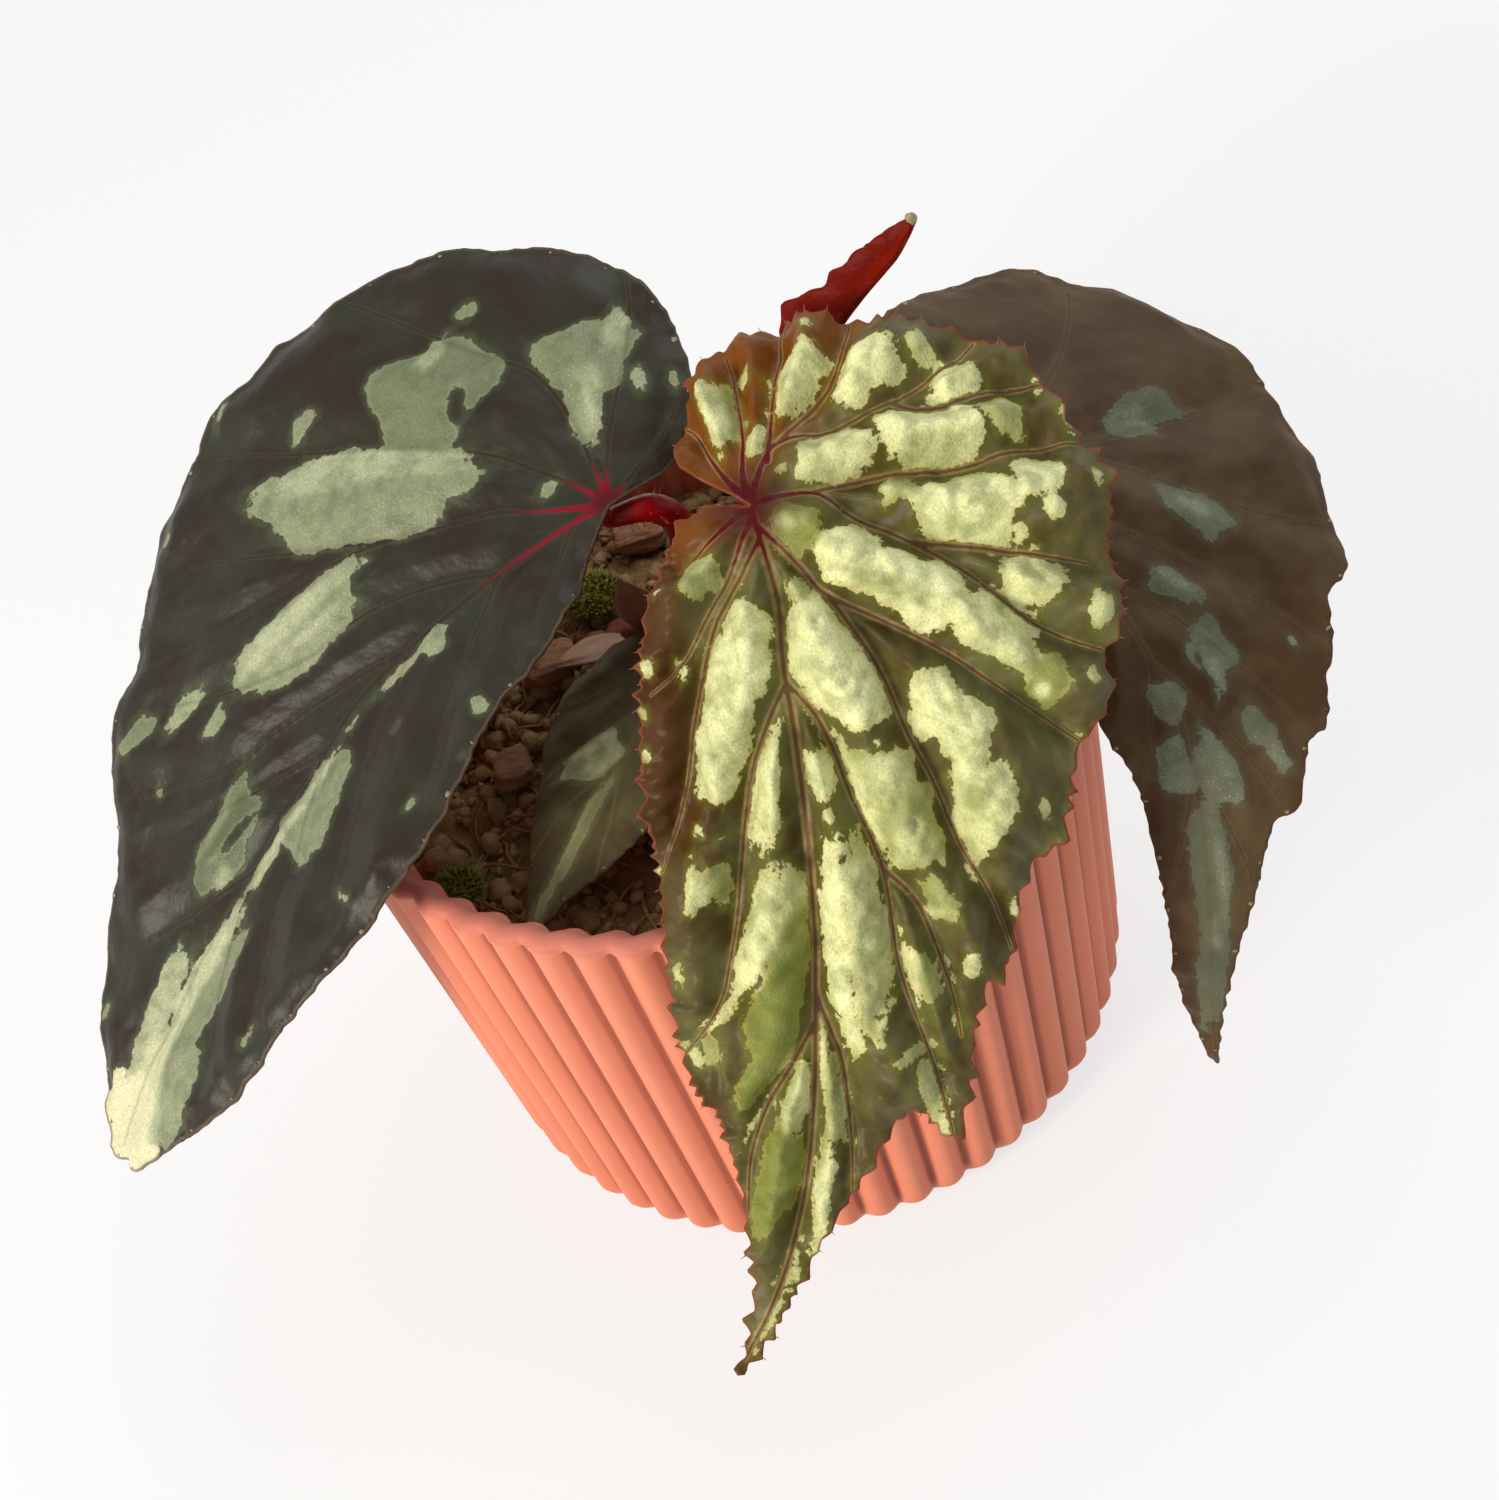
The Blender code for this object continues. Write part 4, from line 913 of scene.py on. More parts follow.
def make_soil():
    """The bed with loose clods and fibres on it."""
    chooser = random.Random(5)
    low, high = box_of("soil")
    radius = (high - low)[0] / 2 + SOIL_PAST_SOLID
    gather = Gather()
    gather.add(*soil_body(radius, low[2]))
    for _ in range(CLODS):
        x, y, height = soil_spot(chooser, radius, 0.96)
        size = chooser.choice(CLOD_SIZES)
        gather.add(*lump(chooser, (x, y, height + 0.35 * size), size), kind=1)
    for _ in range(FIBRES):
        x, y, height = soil_spot(chooser, radius - 4, 1)
        fibre = thread(chooser, (x, y, height + 0.4), chooser.uniform(4, 13),
                       chooser.uniform(0.1, 0.26), 1.4, radius - 1.5)
        gather.add(*fibre, kind=2)
    materials = [plain_material(name) for name in ("potting_soil", "soil_crumbs", "coco_fibre")]
    gather.piece("soil_bed", materials, "soil", ["soil"])


def sphere(rings, sides):
    """Unit vectors in rings from top to bottom."""
    return [direction(math.pi * ring / rings, math.tau * side / sides)
            for ring in range(rings + 1) for side in range(sides)]


def boxed(nodes, seed):
    """Number, node, random source, and the middle and half size of the solid's box, for each node."""
    for number, node in enumerate(nodes):
        low, high = box_of(node)
        yield number, node, random.Random(seed + number), (low + high) / 2, (high - low) / 2


def make_chips():
    """Each piece of bark fills its solid's box as a rounded block with a grain."""
    material = plain_material("bark")
    rings, sides = 14, 18
    for number, node, chooser, middle, half in boxed(CHIPS, 40):
        points = []
        turn = chooser.uniform(0, math.pi)
        for out in sphere(rings, sides):
            block = np.sign(out) * np.abs(out) ** 0.55
            grain = 0.16 * noise.noise(Vector((out[0] * math.cos(turn) * 6, out[1] * math.sin(turn) * 6,
                                               out[2] * 2 + number)))
            lumpy = 0.22 * noise.noise(Vector(out) * 2 + Vector((number, 0, 0)))
            points.append(middle + block * half * (0.88 + grain + lumpy))
        faces = ring_quads(rings, sides, flip=True)
        new_piece(f"{node}_grained", points, faces, [material], "bark", [node])


def make_moss():
    """Each tuft is a dome of small pointed leaves in its solid's box."""
    material = plain_material("moss")
    rings, sides = 8, 14
    for _, node, chooser, middle, half in boxed(TUFTS, 70):
        gather = Gather()
        gather.add([middle + out * half * 0.8 for out in sphere(rings, sides)],
                   ring_quads(rings, sides, flip=True))
        for _ in range(LEAFLETS_PER_TUFT):
            angle = chooser.uniform(0, math.tau)
            out = direction(math.acos(chooser.uniform(-0.1, 1)), angle)
            foot = middle + out * half * 0.78
            lean = unit(out + np.array([chooser.uniform(-0.7, 0.7) for _ in range(3)]))
            width = unit(np.cross(lean, (0.3, 0.5, 0.8))) * chooser.uniform(0.16, 0.3)
            length = chooser.uniform(0.8, 1.7)
            waist = foot + lean * length * 0.5
            leaflet = [foot, waist + width, foot + lean * length, waist - width,
                       waist + np.cross(width, lean) * 0.5]
            gather.add(leaflet, [(0, 1, 4), (1, 2, 4), (2, 3, 4), (3, 0, 4), (0, 3, 2, 1)])
        gather.piece(f"{node}_cushion", [material], "moss", [node])


# ---------------------------------------------------------------- blades

class Bend:
    """Places flat blade points in space: the midrib droops and turns, the sides curl down."""

    STEP = 0.5
    LOW = -60.0
    HIGH = 120.0

    def __init__(self, spec):
        self.spec = spec
        middles = np.arange(self.LOW, self.HIGH, self.STEP) + self.STEP / 2
        spine = np.vstack([np.zeros((1, 3)), np.cumsum(self.tangent(middles) * self.STEP, axis=0)])
        self.stations = self.LOW + self.STEP * np.arange(len(spine))
        start = spine[int(-self.LOW / self.STEP)]
        self.spine = spine - start + np.array(spec["joint"], float)

    def heading(self, along):
        """Direction of the midrib seen from above."""
        return np.radians(self.spec["heading"] + self.spec["turn"] * along / 100)

    def tangent(self, along):
        """Direction of the midrib in space."""
        spec = self.spec
        share = along / 100
        pitch = np.radians(spec["pitch"] + spec["droop"] * share + spec["ease"] * share ** 2)
        heading = self.heading(along)
        return np.stack([np.cos(pitch) * np.cos(heading), np.cos(pitch) * np.sin(heading),
                         np.sin(pitch)], 1)

    def place(self, along, across, lift):
        """Points in space for places on the flat blade, lifted off its middle surface."""
        spec = self.spec
        along, across, lift = (np.atleast_1d(np.asarray(v, float)) for v in (along, across, lift))
        base = np.stack([np.interp(along, self.stations, self.spine[:, axis]) for axis in range(3)], 1)
        tangent = self.tangent(along)
        heading = self.heading(along)
        level = np.stack([-np.sin(heading), np.cos(heading), np.zeros_like(heading)], 1)
        above = np.cross(tangent, level)
        roll = np.radians(spec["roll"] + spec["twist"] * along / 100)[:, None]
        left = np.cos(roll) * level + np.sin(roll) * above
        up = np.cross(tangent, left)
        curl = np.radians(np.where(across > 0, spec["curl_left"], spec["curl_right"])) / 100
        fold = math.radians(spec["fold"])
        end = fold + curl * np.abs(across)
        side = np.where(across > 0, 1.0, -1.0)
        sideways = side * (np.sin(end) - math.sin(fold)) / curl
        drop = (math.cos(fold) - np.cos(end)) / curl
        normal = up * np.cos(end)[:, None] + left * (side * np.sin(end))[:, None]
        return base + left * sideways[:, None] - up * drop[:, None] + normal * lift[:, None]


def polar(angle, reach):
    """A point in the flat frame, from an angle in degrees and a reach."""
    return reach * np.array([math.cos(math.radians(angle)), math.sin(math.radians(angle))])


def outline(lobes):
    """The tip of each lobe, then the bay after it."""
    points = []
    for (angle, reach, bay), (next_angle, next_reach, _) in zip(lobes, lobes[1:]):
        points.append(polar(angle, reach))
        points.append(polar((angle + next_angle) / 2, (reach + next_reach) / 2 * (1 - bay)))
    points.append(polar(*lobes[-1][:2]))
    return np.array(points)


def margin(spec, surface, seed):
    """The closed margin in the flat frame, with its teeth, ending at the joint."""
    step, tooth = MARGIN_STEP, surface["tooth"]
    line = through_points(outline(spec["lobes"]), step)
    chooser = random.Random(seed)
    tangent = np.gradient(line, axis=0)
    tangent /= np.linalg.norm(tangent, axis=1)[:, None]
    outward = np.stack([-tangent[:, 1], tangent[:, 0]], 1)
    if np.sum(outward * line) < 0:
        outward = -outward
    arc = np.arange(len(line)) * step
    push = np.zeros(len(line))
    tips = []
    position = TOOTHLESS
    while position < arc[-1] - TOOTHLESS:
        width = chooser.uniform(*TOOTH_WIDTHS)
        height = tooth * chooser.uniform(0.2, 1.0) * min(1, width / FULL_TOOTH)
        peak = chooser.uniform(0.5, 0.8)
        share = (arc - position) / width
        rise = np.clip(share / peak, 0, 1) ** 1.5 * np.clip((1 - share) / (1 - peak), 0, 1)
        push = np.maximum(push, height * rise * (share > 0) * (share < 1))
        tips.append(int((position + peak * width) / step))
        position += width * chooser.uniform(0.8, 1.0)
    push = push - 0.35 * tooth * smoothstep(arc, TOOTHLESS, TOOTHLESS + 5)
    line = line + outward * push[:, None]
    ends = np.zeros((1, 2))
    closing = resample(np.vstack([line[-1:], ends]), step)[1:]
    opening = resample(np.vstack([ends, line[:1]]), step)[1:-1]
    return np.vstack([line, closing, opening]), [(line[i], outward[i]) for i in tips]


def inside(points, ring):
    """Which points lie inside a closed ring."""
    result = np.zeros(len(points), bool)
    x, y = points[:, 0], points[:, 1]
    for (x1, y1), (x2, y2) in zip(ring, np.roll(ring, -1, axis=0)):
        if y1 != y2:
            crosses = (y1 > y) != (y2 > y)
            result ^= crosses & (x < (x2 - x1) * (y - y1) / (y2 - y1) + x1)
    return result


def tree_of(points):
    """A search tree of flat points."""
    tree = kdtree.KDTree(len(points))
    for index, (x, y) in enumerate(points):
        tree.insert((x, y, 0.0), index)
    tree.balance()
    return tree


def nearest(tree, points):
    """Index of and distance to the nearest tree point, for each point."""
    found = [tree.find((x, y, 0.0)) for x, y in points]
    return np.array([item[1] for item in found]), np.array([item[2] for item in found])


def side_veins(veins, ring, gap, seed):
    """Short veins that leave the main ones by turns on both sides and stop halfway across."""
    chooser = random.Random(seed)
    owners = np.concatenate([np.full(len(line), number) for number, line in enumerate(veins)])
    tree = tree_of(np.vstack(veins))
    result = []
    for number, line in enumerate(veins):
        position, side = gap * 0.9, 1
        while position < VEIN_STEP * (len(line) - 1) - 1.0:
            index = int(position / VEIN_STEP)
            ahead = unit(line[min(index + 2, len(line) - 1)] - line[max(index - 2, 0)])
            angle = math.radians(side * chooser.uniform(*SIDE_ANGLES))
            spot, path = line[index].copy(), [line[index].copy()]
            for step in range(SIDE_STEPS):
                turn = angle * (1 - 0.02 * step)
                spot = spot + VEIN_STEP * np.array([
                    ahead[0] * math.cos(turn) - ahead[1] * math.sin(turn),
                    ahead[0] * math.sin(turn) + ahead[1] * math.cos(turn)])
                _, found, _ = tree.find((*spot, 0.0))
                if owners[found] != number and step > 1:
                    break
                path.append(spot.copy())
            result.append(np.array(path))
            side = -side
            position += gap * 0.5 * chooser.uniform(0.7, 1.3)
    keep = [line[inside(line, ring)] for line in result]
    return [line for line in keep if len(line) > 3]


def silver_field(points, blotches):
    """How far inside a blotch each point lies, in mm, and how pale that blotch is.

    A blotch is between an ellipse and a box, as power says, and a large one has uneven lobes.
    """
    power, far_outside, blend_edge = 2.6, -4.0, -0.35
    depth = np.full(len(points), far_outside)
    tone = np.zeros(len(points))
    for along, across, length, width, turn, silver in blotches:
        shifted = points - (along, across)
        angle = math.radians(turn)
        first = shifted[:, 0] * math.cos(angle) + shifted[:, 1] * math.sin(angle)
        second = shifted[:, 1] * math.cos(angle) - shifted[:, 0] * math.sin(angle)
        first, second = first / (length / 2), second / (width / 2)
        ratio = (np.abs(first) ** power + np.abs(second) ** power) ** (1 / power)
        if silver > 0 and length * width > LOBED_AREA:
            around, phase = np.arctan2(second, first), 1.7 * along + 2.3 * across
            ratio = ratio * (1 + 0.1 * np.sin(3 * around + phase) + 0.07 * np.sin(5 * around + 2 * phase))
        here = (1 - ratio) * min(length, width) / 2
        if silver < 0:
            depth = np.minimum(depth, -here)
            continue
        weight = smoothstep(here, blend_edge, max(0.6, 0.22 * min(length, width)))
        tone = np.where(depth < blend_edge, np.where(here > depth, silver, tone),
                        tone * (1 - weight) + silver * weight)
        depth = np.maximum(depth, here)
    return depth, tone


def fill_margin(ring, veins, spacing):
    """Flat points and triangles inside the margin, in rows, with extra points along the veins."""
    low, high = ring.min(0), ring.max(0)
    rows = np.arange(low[1], high[1], spacing * 0.866)
    columns = np.arange(low[0], high[0], spacing)
    grid = np.array([(x + (row % 2) * spacing / 2, y) for row, y in enumerate(rows) for x in columns])
    grid = grid[inside(grid, ring)]
    edge_tree = tree_of(ring)
    _, gap = nearest(edge_tree, grid)
    grid = grid[gap > 0.55 * spacing]
    on_veins = np.vstack(veins)
    _, to_edge = nearest(edge_tree, on_veins)
    kept = on_veins[to_edge > 0.5 * spacing]
    _, to_kept = nearest(tree_of(kept), grid)
    grid = np.vstack([grid[to_kept > 0.6 * spacing], kept])
    flat = [Vector(point) for point in np.vstack([ring, grid])]
    border = [list(range(len(ring)))]
    inner_triangles_only, merge_closer = 1, 1e-3
    flat, _, triangles, _, _, _ = geometry.delaunay_2d_cdt(flat, [], border, inner_triangles_only,
                                                           merge_closer)
    return np.array(flat), [tuple(face) for face in triangles]


def press_pits(relief, flat, blotches, depth, seed):
    """Presses small pits into the middle of the larger blotches."""
    chooser = random.Random(seed)
    for along, across, length, width, _, pale in blotches:
        area = length * width
        if area > PITTED_AREA and pale > 0.2:
            for _ in range(int(area / AREA_PER_PIT) + 1):
                pit = np.array([along + chooser.gauss(0, length / 8), across + chooser.gauss(0, width / 8)])
                away = np.linalg.norm(flat - pit, axis=1)
                relief -= depth * np.exp(-(away / PIT_RADIUS) ** 2)


def crimson_field(flat, reach, veins, limits):
    """Above 0 on the red part of each vein, which tapers to nothing at its limit."""
    red = np.full(len(flat), -3.0)
    for line, limit in zip(veins, limits):
        close = reach < 1.2 * limit
        if limit and close.any():
            _, gap = nearest(tree_of(line), flat[close])
            red[close] = np.maximum(red[close], 0.45 * (1 - reach[close] / limit) - gap)
    return red


def two_sides(triangles, count):
    """Faces of a closed shell: the triangles, the same from below, and the rim between them."""
    directed = dict.fromkeys(pair for a, b, c in triangles for pair in ((a, b), (b, c), (c, a)))
    rim = [(a, b) for a, b in directed if (b, a) not in directed]
    faces = triangles + [(a + count, c + count, b + count) for a, b, c in triangles]
    faces += [(b, a, a + count, b + count) for a, b in rim]
    return faces, [0] * len(triangles) + [1] * len(triangles) + [0] * len(rim)


def make_blade(name, materials, seed):
    """One blade; returns its bend and the teeth of its margin as (place, outward, lift)."""
    spec, surface = BLADES[name], SURFACES[name]
    quilted = name == "leaf_centre"
    bend = Bend(spec)
    ring, tips = margin(spec, surface, seed)
    veins = [through_points(route, VEIN_STEP) for route in spec["veins"]]
    veins = [line for line in (line[inside(line, ring)] for line in veins) if len(line) > 3]
    flat, triangles = fill_margin(ring, veins, surface["spacing"])

    shares = np.concatenate([np.linspace(0, 1, len(line)) for line in veins])
    found, to_vein = nearest(tree_of(np.vstack(veins)), flat)
    half_width = VEIN_HALF_WIDTH - VEIN_TAPER * shares[found]
    half_width[found < len(veins[0])] += MIDRIB_EXTRA
    vein = to_vein / half_width
    sides = side_veins(veins, ring, surface["side_gap"], seed)
    _, side = nearest(tree_of(np.vstack(sides)), flat)
    _, edge = nearest(tree_of(ring), flat)
    reach = np.linalg.norm(flat, axis=1)
    away = smoothstep(reach, 0, JOINT_CALM)

    # The swelling between the veins and between the side veins, then the ribs themselves.
    pleats = 0.4 if quilted else 0.0
    swell = 1 - np.exp(-(to_vein / surface["span"]) ** 2)
    swell = swell * (pleats + (1 - pleats) * smoothstep(edge, 0, 3.5))
    quilt = (1 - np.exp(-(side / 1.0) ** 2)) * (1 - np.exp(-(to_vein / 1.0) ** 2))
    relief = surface["relief"] * swell * away
    relief += surface["quilt"] * quilt * smoothstep(edge, 0, 2.0) * (0.3 + 0.7 * away)
    relief += RIB_ABOVE * np.exp(-(vein / 0.9) ** 2) * away
    # Puckers, broad unevenness and the margin's waves; all is then lowered by half the swelling.
    relief += surface["pucker"] * (rough(flat, 1.9, seed) + 0.6 * rough(flat, 0.8, seed + 3))
    relief += 0.5 * surface["relief"] * rough(flat, 7.0, seed + 5) * smoothstep(edge, 0, 4)
    ripple = rough(flat, surface["wave_length"], seed + 7) + 0.7 * rough(flat, 4.0, seed + 9)
    relief += surface["wave"] * 1.6 * ripple * np.exp(-edge / 5.0) * away
    relief -= surface["relief"] * 0.55 * away

    # The blotches, their pits and their own swelling, and the centre blade's painted glow and painted shade.
    silver, tone = silver_field(flat, spec["blotches"])
    press_pits(relief, flat, spec["blotches"], surface["dimple"], seed)
    silver = silver + 0.35 * rough(flat, 2.6, seed + 11)
    relief += surface["blister"] * smoothstep(silver, -0.2, 1.4) * smoothstep(edge, 0, 2)
    painted_glow_zone = painted_shade = 0 * reach
    if quilted:
        silver = np.minimum(silver, (vein - 1.5) * 0.4)
        # painted glow of light through the blade, behind and beside the joint
        painted_glow_zone = smoothstep(-flat[:, 0] - 0.7 * flat[:, 1], -3, 5)
        # painted shade on the side of the midrib with negative across, fading out between 26 and 50 mm along
        painted_shade = smoothstep(-flat[:, 1], 5, 13) * smoothstep(flat[:, 0], 50, 26)

    thickness = MARGIN_THICKNESS + (BLADE_THICKNESS - MARGIN_THICKNESS) * smoothstep(edge, 0, 2)
    under_rib = RIB_BELOW * np.exp(-(to_vein / 0.7) ** 2) * (1.1 - 0.7 * shares[found])
    top = bend.place(flat[:, 0], flat[:, 1], relief + thickness / 2)
    bottom = bend.place(flat[:, 0], flat[:, 1], relief - thickness / 2 - under_rib * smoothstep(edge, 0, 2))
    faces, kinds = two_sides(triangles, len(flat))
    values = dict(silver=silver, tone=tone, vein=vein, side=side, edge=edge, joint=reach,
                  swell=swell * 0.7 + quilt * 0.3, painted_glow_zone=painted_glow_zone, painted_shade=painted_shade,
                  red=crimson_field(flat, reach, veins, spec["crimson"]))
    new_piece(f"{name}_blade", np.vstack([top, bottom]), faces, materials, name, [name],
              face_materials=kinds, attributes={k: np.tile(v, 2) for k, v in values.items()})
    spots = np.array([spot - outward * GLAND_INSET for spot, outward in tips])
    lifts = relief[nearest(tree_of(flat), spots)[0]]
    return bend, [(*tip, lift) for tip, lift in zip(tips, lifts)]


def fine_hair(root, end, radii, sides, spacing, lift=0.0):
    """A hair from root to end, its middle raised by lift."""
    return sweep([root, (root + end) / 2 + (0, 0, lift), end], radii, sides, spacing)


def make_bristles(name, bend, tips, seed, material):
    """Fine red hairs on the teeth of a margin."""
    chooser = random.Random(seed)
    gather = Gather()
    for spot, outward, lift in tips:
        if chooser.random() < 0.4:
            continue
        lean = np.array([-outward[1], outward[0]]) * chooser.uniform(-0.5, 0.9)
        root = bend.place(*(spot - outward * 0.3), lift)[0]
        length = chooser.uniform(0.2, 0.55)
        end = bend.place(*(spot + (outward + lean) * length), lift + chooser.uniform(-0.1, 0.35))[0]
        gather.add(*fine_hair(root, end, (0.07, 0.05, 0.02), 4, 0.4, lift=0.04))
    gather.piece(f"{name}_bristles", [material], name, [])


def make_glands(name, bend, tips, seed, material):
    """Small pale swellings along a margin."""
    chooser = random.Random(seed)
    gather = Gather()
    for spot, outward, lift in tips[::3]:
        centre = bend.place(*(spot - outward * GLAND_INSET), lift + 0.1)[0]
        gather.add(*lump(chooser, centre, chooser.uniform(0.2, 0.45), 0.6))
    gather.piece(f"{name}_glands", [material], name, [])


def make_blades():
    """Every blade has its own upper side; the undersides share one red skin."""
    under_red = underside_material("blade_underside_red", srgb(124, 52, 46), srgb(150, 48, 46))
    bristle, gland = plain_material("pale_hairs"), plain_material("margin_glands")
    for seed, name in enumerate(BLADE_LOOKS, 21):
        top = blade_material(f"{name}_upper_side", **BLADE_LOOKS[name])
        bend, tips = make_blade(name, [top, under_red], seed)
        if SURFACES[name]["tooth"] > 1:
            make_bristles(name, bend, tips, seed, bristle)
        else:
            make_glands(name, bend, tips, seed, gland)


# ---------------------------------------------------------------- stalks and small parts

def make_stalks():
    """Each stalk rises from the crown to the joint of its blade, with short stiff hairs."""
    skin, hair = plain_material("red_stalk"), plain_material("pale_hairs")
    for seed, (name, spec) in enumerate(STALKS.items(), 50):
        chooser = random.Random(seed)
        bend = Bend(BLADES[spec["blade"]])
        radius = spec["radii"][-1]
        route = [np.array(point, float) for point in spec["route"]]
        route += [bend.place(0.6, 0, -0.7 - 1.6 * radius)[0], bend.place(1.0, 0, -0.9)[0]]
        gather = Gather()
        gather.add(*sweep(route, (*spec["radii"], radius, 0.5 * radius), 20, 0.8,
                          STALK_RIDGE, STALK_LUMPS, seed))
        line = through_points(route, HAIR_STEP)
        tangents = np.gradient(line, axis=0)
        for _ in range(int(len(line) * HAIRS_PER_STEP)):
            index = chooser.randrange(2, len(line) - 4)
            angle = chooser.uniform(0, math.tau)
            tangent = unit(tangents[index])
            one = unit(np.cross(tangent, (0.2, 0.4, 0.9)))
            out = one * math.cos(angle) + np.cross(tangent, one) * math.sin(angle)
            root = line[index] + out * radius * 0.9
            tip = root + (out + tangent * chooser.uniform(-0.5, 0.3)) * chooser.uniform(0.6, 1.5)
            gather.add(*fine_hair(root, tip, (0.06, 0.045, 0.015), 3, 0.6), kind=1)
        gather.piece(f"{name}_stalk", [skin, hair], "stalk", [name])
    points, faces = sweep(YOUNG_STALK, (1.5, 1.2, 1.3), 18, 0.8, STALK_RIDGE, STALK_LUMPS, 3)
    new_piece("petiole_young_stalk", points, faces, [skin], "stalk", ["petiole_young"])


def make_young_leaf():
    """The young blade, still folded along its midrib, with both wavy free edges on one side."""
    line = through_points(YOUNG_ROUTE, 0.4)
    count, columns = len(line), 13
    shares = np.linspace(0, 1, count)
    widths = np.interp(shares, *np.array(YOUNG_WIDTHS).T)
    tangents = np.gradient(line, axis=0)
    points, rib = [], []
    for half in (1, -1):
        for skin in (YOUNG_SKIN, -YOUNG_SKIN):
            for centre, tangent, width, share in zip(line, tangents, widths, shares):
                tangent = unit(tangent)
                free = unit(YOUNG_FREE_SIDE - tangent * np.dot(YOUNG_FREE_SIDE, tangent))
                normal = np.cross(tangent, free)
                wide = width * (1.0 if half > 0 else 0.88) + 0.16 * math.sin(46 * share + half)
                start = centre - free * min(1.5, 0.5 * wide)
                for s in (column / (columns - 1) for column in range(columns)):
                    open_out = half * (0.32 + 0.5 * math.sin(2.2 * s) * min(1.0, wide / 3))
                    wrinkle = 0.14 * math.sin(30 * share + 2 * s) * s
                    thin = skin * (1 - 0.55 * s)
                    points.append(start + free * wide * s + normal * (open_out + wrinkle + thin))
                    rib.append(s)
    size = count * columns
    gather = Gather()
    gather.add(points, sheet(count, columns, 0, size) + sheet(count, columns, 2 * size, 3 * size))
    fold = line - YOUNG_FREE_SIDE * np.minimum(1.5, 0.5 * widths)[:, None] * 0.9
    gather.add(*sweep(fold, (0.7, 0.85, 0.8, 0.6, 0.4), 12, 0.5))
    end, ahead = line[-1], unit(line[-1] - line[-3])
    dry_tip = [end - ahead * 0.5, end + ahead * 0.1, end + ahead * 0.7]
    gather.add(*sweep(dry_tip, (0.4, 0.72, 0.45), 14, 0.2, 0.05, 0.2, 4), kind=1)
    rib += [0.2] * (len(gather.points) - len(rib))
    gather.piece("young_leaf_folded", [young_material(), plain_material("young_tip")], "young_leaf",
                 ["young_leaf"], {"rib": rib})


def make_stipules():
    """Papery scales, hollow across and bent back towards the tip."""
    material = plain_material("papery_scale")
    rows, columns = 26, 15
    for name, spec in STIPULES.items():
        rise, heading = math.radians(spec["rise"]), math.radians(spec["heading"])
        along = np.array([math.cos(rise) * math.cos(heading), math.cos(rise) * math.sin(heading),
                          math.sin(rise)])
        left = np.array([-math.sin(heading), math.cos(heading), 0.0])
        out = np.cross(left, along)
        points = []
        for skin in (0.13, -0.13):
            for t in (row / (rows - 1) for row in range(rows)):
                half = spec["width"] / 2 * (1 - 0.8 * t ** 2) * (0.55 + 0.45 * math.sin(math.pi * t))
                for s in (column / (columns - 1) * 2 - 1 for column in range(columns)):
                    ridge = 0.12 * math.cos(9 * s) + 0.25 * math.sin(5 * t + 3 * s) * abs(s)
                    points.append(np.array(spec["foot"]) + along * spec["length"] * t + left * half * s
                                  + out * (0.28 * half * s ** 2 + 0.1 * spec["length"] * t ** 2
                                           + ridge + skin))
        faces = sheet(rows, columns, 0, rows * columns, first=1)
        new_piece(f"{name}_scale", points, faces, [material], "stipule", [name])


def make_crown():
    """The short creeping stem from which the stalks grow."""
    points, faces = sweep(CROWN_ROUTE, CROWN_RADII, 26, 0.6, 0.03, 0.22, 2)
    new_piece("crown_rhizome", points, faces, [plain_material("crown_skin")], "crown", ["crown"])


# ---------------------------------------------------------------- camera, light and floor

CAMERA_DISTANCE = 255.0
CAMERA_PITCH = math.radians(46.8)
CAMERA_ROLL = math.radians(-19.7)
CAMERA_LENS = 52.8
AIM_FROM_RIM = (2.35, -11.4, -10.7)      # from the middle of the rim to what the camera looks at

# Lamps, in metres and watts: a warm key light from the left, and a broad fill from above.
LAMPS = {
    "key": dict(location=(-0.56, -0.36, 0.36), size=0.18, watts=4.35, colour=(1.0, 0.92, 0.8)),
    "fill": dict(location=(0.3, 0.25, 0.7), size=0.6, watts=2.4, colour=(0.98, 0.98, 1.0)),
}
WORLD_COLOUR, WORLD_STRENGTH = (0.94, 0.97, 1.0, 1.0), 0.42
FLOOR_COLOUR, FLOOR_ROUGHNESS = (0.86, 0.86, 0.86, 1.0), 0.9
FLOOR_HALF, FLOOR_DROP = 3.0, 0.0003      # metres; the drop keeps the floor clear of the pot
WHITE = (1.0, 1.0, 1.0, 1.0)
WHITE_IN_WORLD, WHITE_IN_FLOOR = 1.0, 0.72      # share of plain white in what the camera sees


def rim_middle():
    """Middle of the pot's rim, in millimetres."""
    return Vector((*POT_AXIS, POT_HEIGHT))


def make_camera():
    """The photograph's viewing angle, with its roll."""
    data = bpy.data.cameras.new("camera")
    data.lens = CAMERA_LENS
    data.clip_start = 0.01
    camera = add_to_scene("camera", data)
    turn = Euler((math.pi / 2 - CAMERA_PITCH, 0, 0)).to_matrix() @ Euler((0, 0, CAMERA_ROLL)).to_matrix()
    aim = rim_middle() + Vector(AIM_FROM_RIM)
    camera.location = (aim + turn.col[2] * CAMERA_DISTANCE) * MM
    camera.rotation_euler = turn.to_euler()
    bpy.context.scene.camera = camera


def add_lamp(name, location, size, watts, colour):
    """A square lamp that looks at the middle of the pot's rim."""
    data = bpy.data.lights.new(name, "AREA")
    data.size = size
    data.energy = watts
    data.color = colour
    lamp = add_to_scene(name, data)
    lamp.location = location
    lamp.rotation_euler = (rim_middle() * MM - Vector(location)).to_track_quat("-Z", "Y").to_euler()


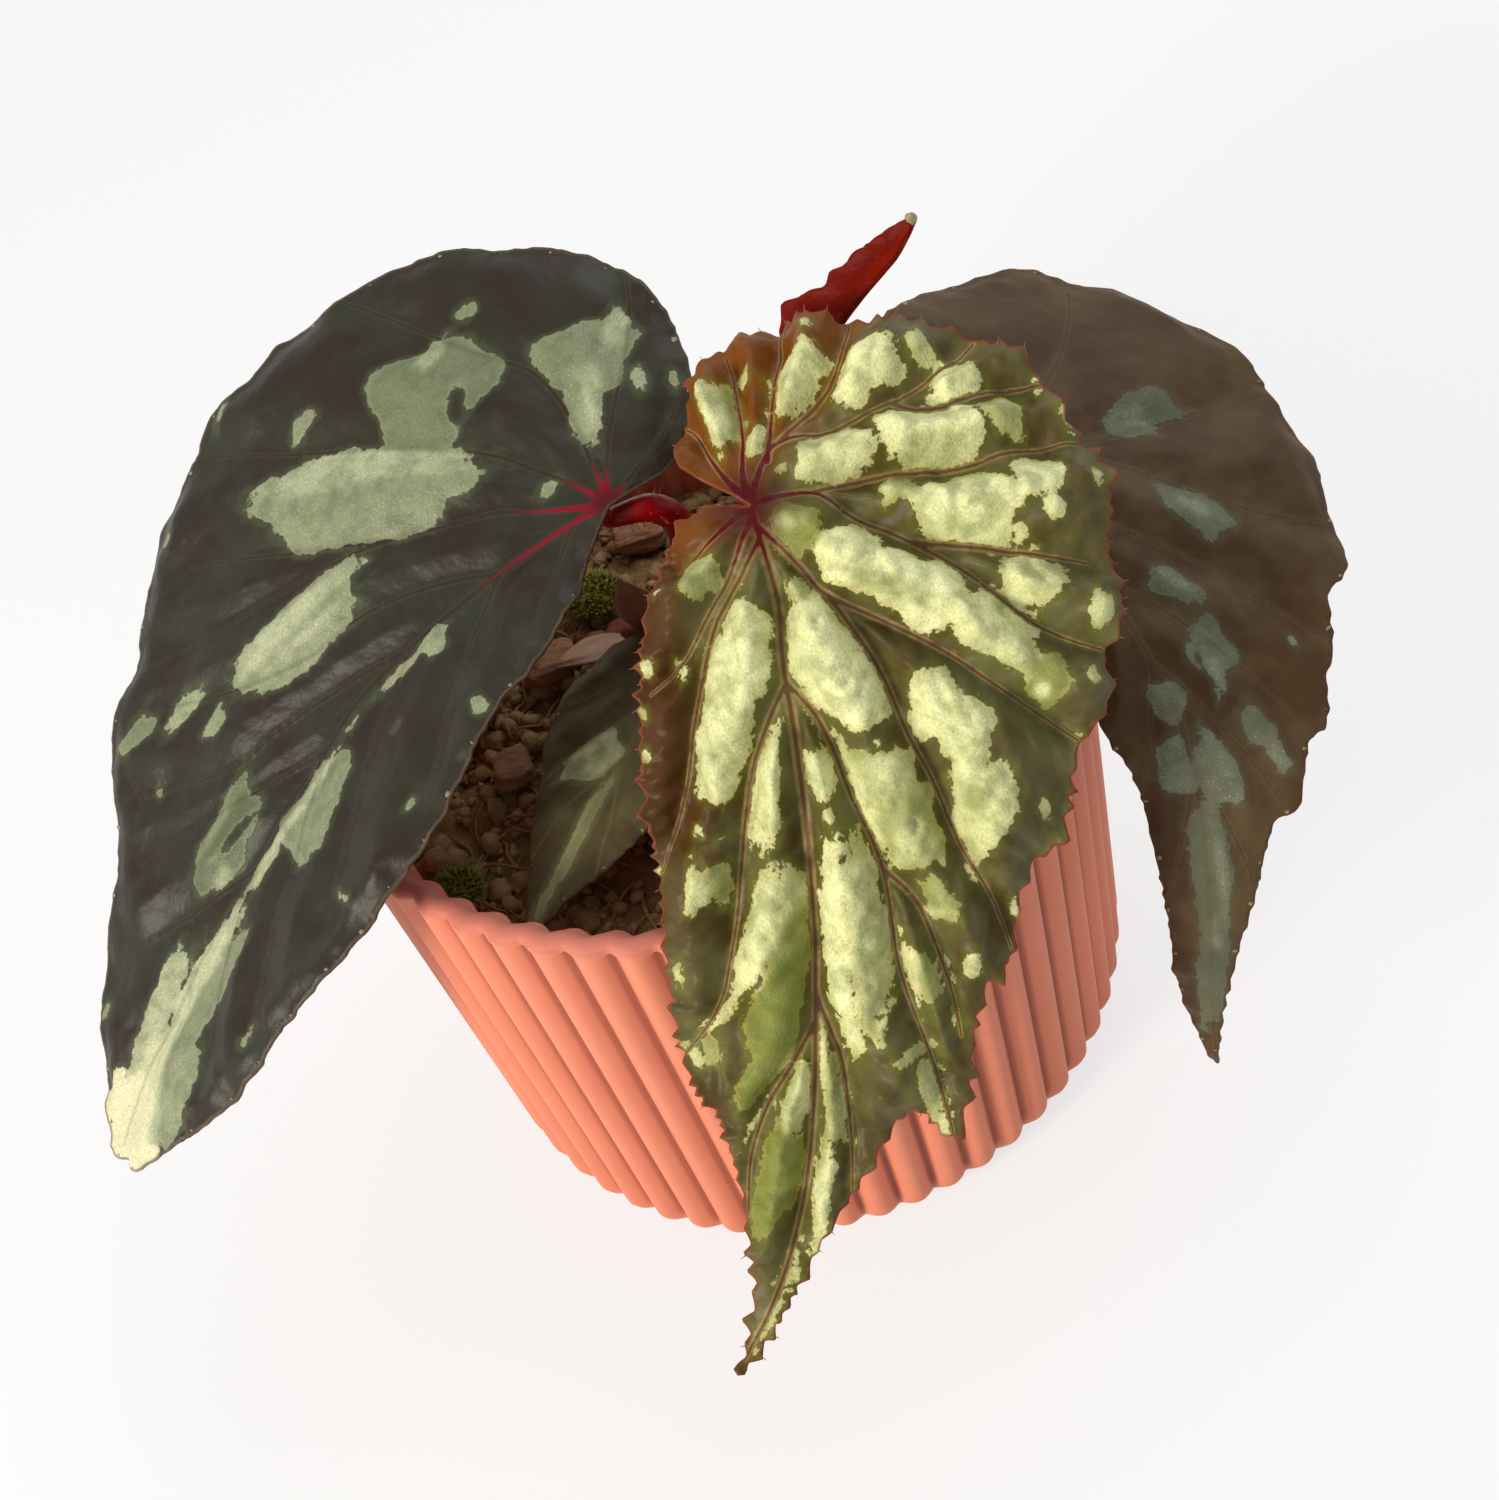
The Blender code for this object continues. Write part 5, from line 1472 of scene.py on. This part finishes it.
def whiten(tree, lit, white, share, output):
    """Mixes plain white into what the camera, a gloss or a clear surface sees, and nothing else."""
    rays = add_node(tree, "LightPath").outputs
    seen = rays["Is Camera Ray"]
    for name in ("Is Glossy Ray", "Is Transmission Ray"):
        seen = calculate(tree, "MAXIMUM", seen, rays[name])
    blend = add_node(tree, "MixShader")
    mixed = (calculate(tree, "MULTIPLY", seen, share), lit.outputs[0], white.outputs[0])
    for socket, value in zip(blend.inputs, mixed):
        put(tree, socket, value)
    put(tree, output.inputs["Surface"], blend.outputs[0])


def make_world():
    """A dim, even studio light from all around."""
    world = bpy.data.worlds.new("studio")
    world.use_nodes = True
    bpy.context.scene.world = world
    tree = world.node_tree
    lit = tree.nodes["Background"]
    put(tree, lit.inputs["Color"], WORLD_COLOUR)
    put(tree, lit.inputs["Strength"], WORLD_STRENGTH)
    white = add_node(tree, "Background", Color=WHITE)
    whiten(tree, lit, white, WHITE_IN_WORLD, tree.nodes["World Output"])


def make_floor():
    """A plain pale floor just under the pot, which is not part of the object."""
    half = FLOOR_HALF
    mesh = bpy.data.meshes.new("floor")
    mesh.from_pydata([(-half, -half, 0), (half, -half, 0), (half, half, 0), (-half, half, 0)], [],
                     [(0, 1, 2, 3)])
    material = bpy.data.materials.new("pale_floor")
    material.use_nodes = True
    tree = material.node_tree
    lit = tree.nodes["Principled BSDF"]
    put(tree, lit.inputs["Base Color"], FLOOR_COLOUR)
    put(tree, lit.inputs["Roughness"], FLOOR_ROUGHNESS)
    white = add_node(tree, "Emission", Strength=1.0)
    whiten(tree, lit, white, WHITE_IN_FLOOR, tree.nodes["Material Output"])
    mesh.materials.append(material)
    floor = add_to_scene("floor", mesh)
    floor.location.z = -FLOOR_DROP


def main():
    """Builds the stage and every piece."""
    make_camera()
    make_world()
    make_floor()
    for name, lamp in LAMPS.items():
        add_lamp(name, **lamp)
    bpy.context.scene.view_settings.view_transform = "Standard"
    make_pot()
    make_soil()
    make_chips()
    make_moss()
    make_blades()
    make_stalks()
    make_young_leaf()
    make_stipules()
    make_crown()


main()
